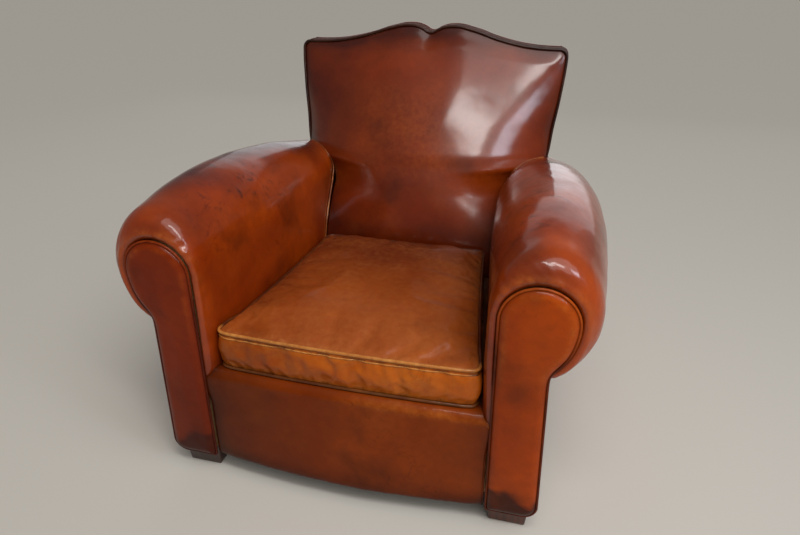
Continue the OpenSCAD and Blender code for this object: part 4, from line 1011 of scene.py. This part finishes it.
def leather(
    name, light, mid, deep, worn, rough=(0.34, 0.46),
    grain=0.10, crease=0.3, line=0.5, coat=0.42, glaze=0.13, shine=0.14,
):
    """Leather of four colours, with a roughness range, the depth of its grain and creases, and its gloss."""
    g = Graph(name)
    broad = g.noise(3.6, 3, 0.5, 0.6)
    tone = g.blend(g.span(broad, 0.34, 0.68, smooth_step=True), mid, light)
    tone = g.blend(g.span(g.noise(7, 3, 0.5, 0.3), 0.5, 0.85, 0.0, 0.7, True), tone, deep)
    tone = g.blend(g.span(g.noise(60, 4, 0.62, 0.4), 0.35, 0.8, 0.0, 0.22), tone, deep)
    dark = g.times(g.mark("dark"), g.span(g.noise(20, 4, 0.55), 0.25, 0.75, 0.8, 1.2), True)
    tone = g.blend(g.times(dark, 0.92), tone, deep)
    rub = g.times(g.mark("worn"), g.span(g.noise(80, 4, 0.65), 0.35, 0.7, 0.25, 1.15), True)
    tone = g.blend(g.times(rub, 0.7), tone, worn)
    # Thin dark creases and a few small scars
    path = g.noise(16, 3, 0.5, 1.6)
    lines = g.span(g.math("ABSOLUTE", g.math("SUBTRACT", path, 0.5)), 0.0, 0.012, 1.0, 0.0, True)
    lines = g.times(lines, g.math("ADD", g.span(g.noise(6, 2), 0.52, 0.72), g.mark("scar")), True)
    tone = g.blend(g.times(lines, line), tone, deep)
    graze = g.span(g.noise(1.0, 5, 0.7, 0.6, g.stretched((22, 60, 40), (0, 0, 35))), 0.56, 0.66)
    graze = g.times(graze, g.mark("scar"), True)
    tone = g.blend(g.times(graze, 0.8), tone, rgb(44, 20, 10))
    specks = g.span(g.cells(60, "F1"), 0.0, 0.09, 1.0, 0.0, True)
    specks = g.times(specks, g.span(g.noise(13, 2), 0.56, 0.66), True)
    tone = g.blend(g.times(specks, 0.6), tone, deep)
    pores = g.cells(820)
    n1 = g.bump(g.span(pores, 0.0, 0.12), 0.00012 * grain * 10, 0.5)
    n2 = g.bump(g.noise(190, 3, 0.6), 0.0005 * crease, 0.6, n1)
    n3 = g.bump(g.math("SUBTRACT", 1.0, lines), 0.0006 * crease, 0.7, n2)
    n4 = g.bump(g.noise(42, 3, 0.55, 0.5), 0.0022 * crease, 0.6, n3)
    dull = g.span(g.noise(30, 4, 0.6), 0.3, 0.72, rough[0], rough[1])
    dull = g.math("ADD", dull, g.times(rub, 0.08))
    g.set(Base_Color=tone, Roughness=dull, Normal=n4)
    return g.set(Specular_IOR_Level=shine, Coat_Weight=coat, Coat_Roughness=glaze, Coat_IOR=1.5)


LEATHERS = {
    "body": ((170, 66, 8), (140, 47, 4), (70, 15, 2), (192, 106, 40), dict(coat=0.7)),
    # The two arm fronts are one leather: the left copy is darker as painted shade, the right copy lighter as painted
    # light
    "facing_left": (
        (128, 40, 3), (110, 32, 2), (60, 14, 3), (176, 80, 26), dict(rough=(0.3, 0.42), coat=0.22, shine=0.06)
    ),
    "facing_right": (
        (172, 66, 3), (154, 55, 2), (44, 15, 7), (192, 106, 40), dict(rough=(0.3, 0.42), coat=0.22, shine=0.06)
    ),
    "back": (
        (142, 52, 6), (116, 37, 3), (56, 12, 2), (170, 84, 26),
        dict(rough=(0.3, 0.38), grain=0.08, crease=0.10, coat=0.85, line=0.15, glaze=0.15),
    ),
    "border": (
        (138, 56, 6), (114, 42, 3), (50, 16, 3), (192, 106, 40), dict(rough=(0.32, 0.44), coat=0.18, shine=0.06)
    ),
    "cushion": (
        (168, 82, 28), (148, 64, 14), (88, 22, 3), (190, 114, 56),
        dict(rough=(0.4, 0.5), grain=0.12, crease=0.2, coat=0.3),
    ),
    "boxing": (
        (190, 90, 12), (168, 70, 5), (118, 42, 3), (216, 138, 54),
        dict(rough=(0.3, 0.42), crease=0.2, coat=0.26, shine=0.1),
    ),
    "piping": ((120, 48, 16), (92, 30, 9), (46, 14, 6), (190, 118, 62), dict(rough=(0.26, 0.4))),
    "piping_cushion": ((188, 108, 40), (150, 72, 20), (60, 18, 4), (222, 156, 80), dict(rough=(0.32, 0.46))),
    "piping_back": ((62, 32, 22), (44, 22, 16), (26, 13, 10), (96, 56, 38), dict(rough=(0.28, 0.4))),
    "band": ((92, 42, 20), (70, 30, 14), (40, 14, 7), (110, 58, 30), dict(rough=(0.5, 0.6), coat=0.0, shine=0.05)),
    "deck": ((92, 40, 20), (76, 30, 14), (44, 16, 8), (130, 74, 42), dict(rough=(0.5, 0.65), coat=0.05)),
}
hide = {
    key: leather("leather_" + key, *(rgb(*colour) for colour in colours), **look)
    for key, (*colours, look) in LEATHERS.items()
}


def thread(name, light, dark):
    g = Graph(name)
    twist = g.waves(900, "DIAGONAL", 0.5)
    tone = g.blend(g.span(g.noise(60), 0.3, 0.7), dark, light)
    return g.set(Base_Color=tone, Roughness=0.62, Normal=g.bump(twist, 0.0001, 0.6))


def wood(name, light, dark, rough, axis, coat=0.0):
    g = Graph(name)
    where = g.stretched([1 if along == axis else 14 for along in "XYZ"])
    rings = g.waves(1.6, "Y" if axis == "X" else "X", 6.0, 3, where)
    fibre = g.noise(34, 5, 0.65, 0.3, where)
    tone = g.blend(g.times(g.math("ADD", rings, fibre), 0.5, True), light, dark)
    rays = g.span(g.noise(26, 2, 0.5, 0, where), 0.62, 0.72)
    tone = g.blend(g.times(rays, 0.35), tone, dark)
    tone = g.blend(g.span(g.noise(7, 3), 0.35, 0.75, 0, 0.4), tone, dark)
    return g.set(
        Base_Color=tone, Roughness=g.span(g.noise(40, 3), 0.3, 0.7, rough - 0.06, rough + 0.1),
        Normal=g.bump(fibre, 0.0003, 0.5), Coat_Weight=coat, Coat_Roughness=0.2,
    )


def woven(name, light, dark, pitch, rough=0.85, fuzz=0.2):
    """A plain weave of the given pitch in metres."""
    g = Graph(name)
    wave = 2 * math.pi / pitch / 20
    warp, weft = g.waves(wave, "X", 0.4, 1), g.waves(wave, "Y", 0.4, 1)
    height = g.math("MAXIMUM", warp, weft)
    tone = g.blend(g.times(height, g.span(g.noise(120, 3), 0.3, 0.7, 0.6, 1.1)), dark, light)
    g.set(Base_Color=tone, Roughness=rough, Normal=g.bump(height, pitch * 0.3, 0.7))
    return g.set(Sheen_Weight=fuzz, Sheen_Roughness=0.5)


def hairy(name, light, dark):
    g = Graph(name)
    strands = g.noise(260, 5, 0.7, 3.0)
    tone = g.blend(g.span(strands, 0.3, 0.7), dark, light)
    return g.set(Base_Color=tone, Roughness=0.9, Normal=g.bump(strands, 0.0015, 0.8), Sheen_Weight=0.2)


def metal(name, light, dark, rough):
    g = Graph(name)
    wear = g.noise(300, 4, 0.6)
    tone = g.blend(g.span(wear, 0.35, 0.7), light, dark)
    return g.set(
        Base_Color=tone, Metallic=1.0, Roughness=g.span(g.noise(90, 3), 0.3, 0.7, rough - 0.08, rough + 0.12),
        Normal=g.bump(wear, 0.00006, 0.4),
    )


stitching = thread("waxed_thread", rgb(104, 66, 36), rgb(60, 34, 20))
beech = {axis: wood("beech_" + axis.lower(), rgb(214, 176, 128), rgb(176, 132, 86), 0.55, axis) for axis in "XYZ"}
# Lit and shaded copies of one stained wood: the darker one for the left feet is painted shade, the redder one for the
# right feet painted light
feet_shaded = wood("foot_wood_painted_shade", rgb(74, 36, 20), rgb(30, 15, 10), 0.36, "Z", 0.25)
feet_lit = wood("foot_wood_painted_light", rgb(112, 48, 22), rgb(54, 22, 12), 0.36, "Z", 0.25)
jute = woven("jute_webbing", rgb(196, 158, 104), rgb(120, 88, 50), 0.0024)
hessian = woven("hessian", rgb(186, 152, 104), rgb(110, 82, 50), 0.0016)
cambric = woven("black_cotton", rgb(44, 42, 42), rgb(14, 14, 15), 0.0009, 0.9, 0.3)
zip_cloth = woven("zip_tape_cotton", rgb(92, 54, 32), rgb(48, 26, 16), 0.0007, 0.8, 0.2)
hair = hairy("horsehair", rgb(120, 84, 54), rgb(46, 30, 20))
steel = metal("spring_steel", rgb(150, 146, 140), rgb(84, 74, 66), 0.38)
brass = metal("aged_brass", rgb(190, 146, 74), rgb(112, 78, 36), 0.32)

# Pieces of the arms


def keep(obj, material, nodes, body="frame"):
    """Gives a piece its material, the nodes it stands for and its body."""
    obj.data.materials.clear()
    obj.data.materials.append(material)
    if nodes:
        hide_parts(*nodes)
    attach(obj, body)
    return obj


def pair(obj, material, nodes):
    """Keeps a piece of the right side and its mirror image on the left."""
    other = mirrored(obj, obj.name.replace("right", "left"))
    first, second = material if isinstance(material, tuple) else (material, material)
    keep(obj, first, [n + "_right" for n in nodes])
    keep(other, second, [n + "_left" for n in nodes])
    return obj, other


def darken(obj, amount):
    """Adds to the dark mark of each point, by its place."""
    values = obj.data.attributes["dark"].data
    for vertex in obj.data.vertices:
        values[vertex.index].value = min(1, values[vertex.index].value + amount(*vertex.co))


right_arm, left_arm = pair(arm_piece(), hide["body"], ["arm_cover", "arm_pad"])
# Painted shade: the right arm's inner wall is darkened below its top, on the side turned away from the light
darken(right_arm, lambda x, y, z: 0.75 * smooth((0.285 - x) / 0.05) * smooth((0.6 - z) / 0.06))
# Painted shade on the left arm only: its outer side and its top towards the rear are darkened, as the light comes
# from the right
darken(left_arm, lambda x, y, z: 0.55 * smooth((-x - 0.29) / 0.09) * smooth((y + 0.42) / 0.12))
darken(left_arm, lambda x, y, z: 0.5 * smooth((y + 0.1) / 0.25) * smooth((z - 0.5) / 0.08))
# Painted light and shade: the right arm front takes the lighter copy of the facing leather, the left the darker
FACINGS = hide["facing_right"], hide["facing_left"]
pair(facing_piece(), FACINGS, ["facing"])
rim = facing_outline(2.5, 560)
rim_path = joined(rim[:, 0], 0.0, rim[:, 1])
# Painted light and shade on the piping: lighter on the top of the head, darker down the sides and bottom, with a
# little wear
rim_light_and_wear = np.clip(smooth((rim[:, 1] - 400) / 130) * 0.9 + 0.25 * noise(rim_path, 20, 101), 0, 1)
rim_tube = tube("facing_piping_tube_right", rim_path, 2.45, 10, True, marked(0.85 * (1 - rim_light_and_wear), 0.45 * rim_light_and_wear))
pair(rim_tube, FACINGS, ["facing_piping"])
panels = pair(outside_arm_piece(), hide["body"], ["outside_arm"])

# Pieces of the back

keep(inside_back_piece(), hide["back"], ["inside_back", "back_pad"])
back_line = leaned(crest_outline(BACK_PIPE_D / 2, MEET_Z + 1, 700), 0)
back_worn = np.clip(0.35 + noise(back_line, 40, 102), 0, 1) * 0.5
back_tube = tube("back_piping_tube", back_line, BACK_PIPE_D / 2 - 0.4, 10, marks={"worn": back_worn})
keep(back_tube, hide["piping_back"], ["back_piping"])


def welt_path():
    """The line along which the inside of the right arm meets the padded back."""
    path = []
    for z in np.linspace(DECK_Z + 10, ROLL_Z, 40)[:-1]:
        y = 520.0
        for _ in range(60):
            y = 0.6 * y + 0.4 * float(back_surface_y(np.float64(wall_x(y, z)), z))
        path.append((float(wall_x(y, z)), y, z))
    for a in np.radians(np.linspace(180, 62, 60)):
        y = path[-1][1]
        for _ in range(60):
            xi, xo, rise = full_section(y)[:3]
            x = (xi + xo) / 2 + (xo - xi) / 2 * math.cos(a)
            z = ROLL_Z + rise * math.sin(a)
            y = 0.6 * y + 0.4 * float(back_surface_y(np.float64(x), z))
        if x > back_x(np.float64(z)) - 8:
            break
        path.append((x, y, z))
    return soften(resample(path, 150), 12) + [-1.2, -1.2, 0.6]


welt = welt_path()
welt_worn = np.clip(0.65 + noise(welt, 40, 103), 0, 1)
pair(tube("arm_welt_right", welt, 2.1, 8, marks={"worn": welt_worn}), hide["piping"], [])
band = keep(back_band_piece(), hide["band"], ["back_band"])
rear = keep(outside_back_piece(), hide["body"], ["outside_back"])

# Pieces of the seat

keep(border_piece(), hide["border"], ["front_border", "border_pad"])
deck = keep(deck_piece(), hide["deck"], ["deck_cover"])

# The seat's hidden layers: webbing, sacking, hair pad, and the dust cover below

STRAP_HALF_W, STRAP_HALF_T, STRAP_Z = 24.8, 0.92, 72.0
STRAP_ENDS_Y, STRAP_HALF_FRONT, STRAP_HALF_REAR = (SEAT_FRONT, 649.3), 340.4, 331.9
STRAP_RISE, STRAP_RAMP = 1.02, 36  # how far a strap goes over or under another, and over what length it gets there


def strap_piece():
    """Webbing, woven over and under at each crossing."""
    points, faces = [], []
    along = [-151.33, -75.67, 0.0, 75.67, 151.33]
    across = [134.0, 290.9, 447.8]

    def strap(line, other, sign, place):
        t = np.linspace(line[0], line[1], 90)
        z = np.full(len(t), STRAP_Z)
        for k, at in enumerate(other):
            z += sign * (1 if k % 2 else -1) * STRAP_RISE * smooth(1.45 - np.abs(t - at) / STRAP_RAMP)
        faces.extend(loft(len(t), 4, len(points)))
        for s, h in zip(t, z):
            for side, up in ((-1, -1), (1, -1), (1, 1), (-1, 1)):
                points.append(place(s, STRAP_HALF_W * side, h + STRAP_HALF_T * up))

    for i, x in enumerate(along):
        strap(STRAP_ENDS_Y, across, 1 if i % 2 else -1, lambda s, side, h, x=x: (x + side, s, h))
    for j, y in enumerate(across):
        half = mix(STRAP_HALF_FRONT, STRAP_HALF_REAR, j / 2) - 0.4
        strap((-half, half), along, -1 if j % 2 else 1, lambda s, side, h, y=y: (s, y - side, h))
    return new_object("webbing_straps", points, faces, None, 40)


def layer_piece(name, z, thickness, edge, lumps, seed):
    """A layer between the arms: flat, with rounded edges if edge is more than 0."""
    x, y, far = seat_grid(54, 60, 1.6, edge > 0)
    fall = edge * (1 - np.sqrt(np.clip(1 - (1 - np.clip(far / max(edge, 1), 0, 1)) ** 2, 0, 1)))
    p = joined(x, y, z)
    p[..., 2] += smooth(far / 30) * lumps * layered(p, 50, 3, seed) - fall
    low = p.copy()
    low[..., 2] = np.minimum(z - thickness + fall if edge else p[..., 2] - thickness, p[..., 2] - 0.2)
    return closed(name, p, low)


def dust_cover_piece():
    """Black cloth tacked under the frame, cut out round the feet, which sags a little."""
    # Edges of the cloth, the depths to which its corners are cut out, and its half widths between the feet
    start, end, cut_front, cut_rear, narrow_front, narrow_rear = 28.6, 647.9, 95.3, 590.6, 292.7, 263.1
    inner = [-narrow_front, -narrow_rear, narrow_rear, narrow_front]
    ys = np.sort(np.concatenate([np.linspace(start, end, 40), [cut_front, cut_rear]]))
    halves = mix(343.2, 329.9, np.clip((ys - cut_front) / (cut_rear - cut_front), 0, 1))
    x = np.array([np.sort(np.concatenate([np.linspace(-1, 1, 45) * half, inner])) for half in halves])
    y = ys[:, None] + 0 * x
    p = joined(x, y, 59.2)
    far = np.minimum(343 - np.abs(x), np.minimum(y - start, end - y))
    corner = np.minimum(np.hypot(np.abs(x) - 300, y - 80), np.hypot(np.abs(x) - 275, y - 605))
    p[..., 2] -= 5.0 * smooth(far / 260) + smooth(np.minimum(far, corner) / 50) * (0.8 + 0.8 * layered(p, 70, 3, 161))
    cols = x.shape[1]
    faces, edges = [], []
    for r in range(len(ys) - 1):
        limit = narrow_front if ys[r] < cut_front else narrow_rear if ys[r] >= cut_rear else math.inf
        for c in range(cols - 1):
            if abs(x[r, c] + x[r, c + 1]) / 2 > limit:
                continue
            quad = [r * cols + c, (r + 1) * cols + c, (r + 1) * cols + c + 1, r * cols + c + 1]
            faces.append(quad)
            edges += zip(quad, quad[1:] + quad[:1])
    size = len(ys) * cols
    seen = set(edges)
    rim = [(a, b) for a, b in edges if (b, a) not in seen]
    faces += [[i + size for i in q[::-1]] for q in faces] + [[b, a, a + size, b + size] for a, b in rim]
    low = p.reshape(-1, 3)
    points = np.concatenate([low, low + [0, 0, 0.8]])
    used = sorted({i for q in faces for i in q})
    place = {old: new for new, old in enumerate(used)}
    return new_object("dust_cover_cloth", points[used], [[place[i] for i in q] for q in faces], None, 50)


keep(strap_piece(), jute, ["seat_webbing"])
sacking = keep(layer_piece("hessian_sheet", 240.3, 1.3, 0, 0.25, 162), hessian, ["seat_hessian"])
keep(layer_piece("deck_hair_pad", 270.3, 29.4, 11, 2.0, 163), hair, ["deck_pad"])
dust = keep(dust_cover_piece(), cambric, ["dust_cover"])

# Cushion: a filled cover with sewn seams


def cushion_marks(p, far_edge):
    boxed = smooth((PIPE_Z + 4 - p[:, 2]) / 8)
    # Painted shade and light: darker towards the rear under the back, darker along the left edge of the top in the
    # arm's shadow, lighter on the right of the top, and on the boxing darker at the left and along the bottom
    dark = 0.1 + (0.34 - 0.24 * boxed) * layered(p, 120, 2, 111) + 0.9 * smooth((p[:, 1] - 150) / 290)
    dark += 0.4 * (1 - boxed) * smooth((-p[:, 0] - 175) / 70) * smooth((p[:, 1] - 60) / 80)
    dark -= 0.35 * smooth((p[:, 0] - 20) / 160) * (1 - boxed)
    dark += 0.6 * boxed * smooth((-p[:, 0] - 20) / 200) + 0.5 * boxed * smooth((REST_Z + 22 - p[:, 2]) / 20)
    worn = 0.25 * layered(p, 90, 2, 112) + 0.25 + 0.35 * bell(far_edge, 12)
    return marked(dark, worn)


points, faces, loops, n_top = cushion_pieces()
crown_now = points[:n_top, 2].max() - PIPE_Z
points[:n_top, 2] = PIPE_Z + (points[:n_top, 2] - PIPE_Z) * (CUSHION_CROWN + 1.5) / crown_now
low_seam = REST_Z + CUSHION_PIPE_D / 2
side_ids = np.concatenate(loops[1:-1])
edge_path = cushion_outline(CUSHION_PIPE_D - 1.5, 300)
# The top: shallow hollows where people have sat, lumps, and creases that run to the seam
q = points[:n_top]
qx, qy = q[:, 0], q[:, 1]
far = distance_to(edge_path, qx, qy)
inside = smooth(far / 60)
q[:, 2] += inside * (2.4 * layered(q, 130, 2, 121) + 0.6 * layered(q, 48, 1, 122))
for mid_x, mid_y, size, deep in ((-45, 330, 55, 3.4), (60, 290, 70, 2.6), (-110, 210, 60, 2.2), (90, 130, 60, 1.8)):
    q[:, 2] -= inside * deep * patch((qx - mid_x) / size, (qy - mid_y) / (size * 0.7))
turned = joined(qx * 0.8 + qy * 0.6, (qy * 0.8 - qx * 0.6) * 0.28, 0)
q[:, 2] += inside * 0.4 * noise(turned, 34, 123)
pull = bell(far, 24) * smooth(far / 5)
along = joined(qx, qy, 0)
q[:, 2] += pull * (2.6 * noise(along, np.array([13, 60, 60.0]), 124) * smooth((120 - qy) / 60))
creases = ridged(along + [0, 0, 5], np.array([16, 70, 60.0]), 126, 2)
q[:, 2] -= 1.5 * creases * smooth((qx + 60) / 140) * np.exp(-far / 34) * smooth(far / 6)
q[:, 2] += pull * 1.2 * noise(along, np.array([60, 16, 60.0]), 125) * smooth((qy - 60) / 60)
# The boxing: flat at the zip, puckers from both seams, bulges at the front corners
s = points[side_ids]
sx, sy, sz = s.T
up = np.clip((sz - low_seam) / (PIPE_Z - low_seam), 0, 1)
bow = np.sin(np.pi * up)
away = unit(s[:, :2] - CUSHION_MID)
around = joined(sx, sy, sz * 0.45)
near_seam = np.exp(-up / 0.22) + np.exp(-(1 - up) / 0.22)
front = smooth((60 - sy) / 50)
corner = bell(np.abs(sx) - 250, 42) * smooth((90 - sy) / 50)
push = 1.1 * layered(around, 90, 2, 131) + (0.5 + 0.9 * corner) * near_seam * 1.5 * noise(around, 14, 132)
folds = joined(sx + 0.5 * sz, sy, sz * 0.6)
push += corner * (3.5 + 6.0 * noise(folds, 22, 133)) + front * 2.2 * ridged(folds, 42, 134)
push += front * ridged(folds * [1, 1, 0.5], 17, 135) * near_seam * 0.8
push *= bow**0.6
push -= 2.2 * bell(PIPE_Z - 9.5 - sz, 2.6) * smooth((70 - sy) / 40)
s[:, :2] += away * push[:, None]
s[:, 1] = np.minimum(sy, CUSHION_Y + CUSHION_LEN - 0.1)
s[:, 0] = np.clip(sx, -half_in(sy) + 2, half_in(sy) - 2)
points[side_ids] = s


def seam_drop(y):
    """How far the upper seam sinks at the sides and the rear, where the arms hide it."""
    return 8.0 * smooth((y - 50) / 60)


points[side_ids, 2] -= seam_drop(sy) * up
near = np.exp(-far / 10)
points[:n_top, 2] -= seam_drop(qy) * near
spread = 3.0 * near * smooth(far / 4) * smooth((qy - 50) / 60)
points[:n_top, :2] += unit(q[:, :2] - CUSHION_MID) * spread[:, None]
edge_far = np.full(len(points), 100.0)
edge_far[:n_top] = far
edge_far[side_ids] = np.minimum(up, 1 - up) * (PIPE_Z - low_seam)
cushion = new_object("cushion_leather_cover", points, faces, cushion_marks(points, edge_far), 60)
keep(cushion, hide["cushion"], ["cushion_cover", "cushion_core"], "seat_cushion")
cushion.data.materials.append(hide["boxing"])
side_set = np.zeros(len(points), bool)
side_set[side_ids] = True
for face in cushion.data.polygons:
    if side_set[list(face.vertices)].any():
        face.material_index = 1
sub = cushion.modifiers.new("Subdivision", "SUBSURF")
sub.levels = sub.render_levels = 1

ring = points[loops[2]]
ring_front = smooth((CUSHION_Y + 30 - ring[:, 1]) / 26)
ring[:, :2] += 0.9 * unit(ring[:, :2] - CUSHION_MID)
fold_front = np.interp(np.linspace(0, 1, 501)[:-1], np.linspace(0, 1, len(ring)), ring_front)
# Painted shade: the fold is darkened away from the front, with a lighter worn look at the front
fold = tube("cushion_seam_fold", resample(ring, 500, True), 1.5, 8, True, marked(1 - fold_front, fold_front))
keep(fold, hide["piping_cushion"], [], "seat_cushion")

for name, z, seed in (("top", PIPE_Z, 141), ("bottom", low_seam, 142)):
    path = cushion_outline(CUSHION_PIPE_D / 2 + 0.2, 620)
    flow = joined(*path.T, z)
    if name == "top":
        flow[:, 2] += 0.9 * noise(flow, 60, 143) + 0.5 * noise(flow, 18, 144) - seam_drop(path[:, 1])
    # Painted shade: the cords are darkened along the sides, the rear and nearly all of the bottom, where they lie in
    # shade; only the top front keeps its lighter worn look
    at_front = smooth((CUSHION_Y + 34 - path[:, 1]) / 26) * (1.0 if name == "top" else 0.12)
    marks = marked(1.1 - 1.3 * at_front, (0.75 + 0.9 * noise(flow, 40, seed)) * at_front)
    cord = tube("cushion_piping_cord_" + name, flow, CUSHION_PIPE_D / 2 - 0.8, 12, True, marks, 0.05)
    keep(cord, hide["piping_cushion"], ["cushion_piping_" + name], "seat_cushion")
    # The row of stitches beside the cord, on the boxing
    sew = cushion_outline(CUSHION_PIPE_D - 3.2, 1200)
    out = joined(*unit(sew - CUSHION_MID).T, 0)
    drop = -8.0 - seam_drop(sew[:, 1]) if name == "top" else 8.0
    row = stitches("cushion_stitches_" + name, joined(*sew.T, z + drop), out)
    keep(row, stitching, [], "seat_cushion")

# Feet: square tapered blocks with eased edges


def foot_piece(name, node, material):
    lo, hi = (1000 * np.array(v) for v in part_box(node))
    x, y, top = (lo[0] + hi[0]) / 2, (lo[1] + hi[1]) / 2 + MIDDLE_Y, hi[2]
    ease = 3.5
    # Heights, and how far the sides draw in there
    levels = [(0.0, 2.2), (0.9, 0.9), (2.4, 0.0)] + [(z, 0.0) for z in np.linspace(8, top - 3, 12)] + [(top, 0.6)]
    corners = []
    for cx, cy, start in ((1, -1, -90), (1, 1, 0), (-1, 1, 90), (-1, -1, 180)):
        corners += [(cx, cy, *turn) for turn in arc(0, 0, ease, start, start + 90, 5)]
    points = []
    for z, inset in levels:
        flat = mix(FOOT_W / 2 - FOOT_TAPER, FOOT_W / 2, z / top) - inset - ease
        points += [(x + cx * flat + dx, y + cy * flat + dy, z) for cx, cy, dx, dy in corners]
    return keep(new_object(name, points, loft(len(levels), len(corners)), None, 50), material, [node])


for place in ("front_left", "front_right", "back_left", "back_right"):
    # The right feet take the lit copy of the wood and the left feet the shaded one, as painted light and shade
    foot_piece("foot_block_" + place, "foot_" + place, feet_lit if "right" in place else feet_shaded)

# Zip: cloth tape with two rows of teeth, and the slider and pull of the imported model

TOOTH_PITCH = 2.2


def zip_piece():
    lo, hi = (1000 * np.array(v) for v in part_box("zip_tape"))
    y, zm = hi[1] + MIDDLE_Y, (lo[2] + hi[2]) / 2
    X, Z = grid(np.linspace(lo[0], hi[0], 90), np.linspace(lo[2], hi[2], 14))
    Y = y - 0.25 + 0.2 * noise(joined(X, 0, Z), 30, 151)
    tape = shell("zip_tape_cloth", joined(X, Y, Z), REAR, None, 0.9, 0.1)
    # The teeth stay below the plate of the slider, which glides 0.3 mm above the tape
    points, faces = [], []
    for k in range(int((hi[0] - lo[0] - 8) / TOOTH_PITCH)):
        x = lo[0] + 4 + TOOTH_PITCH * k
        z = zm + (0.9 if k % 2 else -0.9)
        faces += loft(2, 4, len(points), flip=True)
        for cx in (x - 0.65, x + 0.65):
            points += [(cx, y - 0.3, z - 1.5), (cx, y - 0.3, z + 1.5), (cx, y + 0.2, z + 1.0), (cx, y + 0.2, z - 1.0)]
    return tape, new_object("zip_teeth", points, faces, None, 30)


tape, teeth = zip_piece()
keep(tape, zip_cloth, ["zip_tape"], "seat_cushion")
keep(teeth, brass, [], "seat_cushion")

# Finishes of the imported model's own pieces

FINISH = {
    "rail": beech["X"], "side_rail": beech["Y"], "post": beech["Z"], "board": beech["Y"], "arm_top_rail": beech["Y"],
    "arm_tacking": beech["Y"], "corner": beech["Z"], "crest": beech["X"], "webbing": jute, "springs": steel,
    "hessian": hessian, "pad": hair, "dust_cover": cambric, "screws": steel, "zip": brass,
}
for name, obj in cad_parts.items():
    chosen = [key for key in FINISH if key in name]
    if chosen and obj.type == "MESH":
        material = FINISH[max(chosen, key=len)]
        for slot in obj.material_slots:
            slot.material = material
        if not obj.material_slots:
            obj.data.materials.append(material)

# Stage, camera and light

FLOOR_R, FLOOR_SIDES = 40, 96
floor_mesh = bpy.data.meshes.new("floor")
turns = [2 * math.pi * k / FLOOR_SIDES for k in range(FLOOR_SIDES)]
disc = [(FLOOR_R * math.cos(a), FLOOR_R * math.sin(a), 0) for a in turns]
floor_mesh.from_pydata(disc, [], [list(range(FLOOR_SIDES))])
floor = add("floor", floor_mesh)
paint = Graph("floor_paint")
paint.set(Base_Color=rgb(206, 201, 192), Roughness=0.95, Specular_IOR_Level=0.1)
floor.data.materials.append(paint.mat)

camera = add("camera", adjust(bpy.data.cameras.new("camera"), sensor_width=36, lens=27.3, clip_end=200))
camera.location = (0.331, -1.2642, 1.025)
camera.rotation_euler = (math.radians(90 - 27.85), math.radians(-0.14), math.radians(14.14))
bpy.context.scene.camera = camera


def softbox(name, place, aim, width, height, power, tint, roll, spread=180):
    lamp = add(name, bpy.data.lights.new(name, "AREA"))
    adjust(lamp.data, shape="RECTANGLE", size=width, size_y=height, energy=power, color=tint)
    lamp.data.spread = math.radians(spread)
    lamp.location = place
    turn = (Vector(aim) - Vector(place)).to_track_quat("-Z", "Y")
    lamp.rotation_euler = (turn @ Quaternion((0, 0, 1), math.radians(roll))).to_euler()
    lamp.visible_camera = False


softbox("window_front", (0.51, -1.17, 1.95), (0.15, 0.28, 0.66), 1.1, 0.27, 12, (1.0, 0.98, 0.95), -32)
softbox("window_side", (1.51, -1.0, 1.47), (0.24, 0.29, 0.63), 0.5, 0.3, 5.5, (0.78, 0.86, 1.0), -34)
softbox("wall_behind", (0.0, 3.5, 1.6), (0.0, 0.0, 1.3), 5.0, 2.6, 11, (0.96, 0.97, 1.0), 0, 80)
sun = add("soft_sky", bpy.data.lights.new("soft_sky", "SUN"))
adjust(sun.data, energy=1.55, angle=math.radians(58), color=(1.0, 0.975, 0.94))
sun.rotation_euler = Vector((-0.5, 0.48, -1.0)).to_track_quat("-Z", "Y").to_euler()

world = bpy.data.worlds.new("room")
world.use_nodes = True
sky = world.node_tree.nodes["Background"]
sky.inputs["Color"].default_value = (0.96, 0.97, 1.0, 1.0)
sky.inputs["Strength"].default_value = 0.15
bpy.context.scene.world = world
bpy.context.scene.view_settings.view_transform = "Standard"
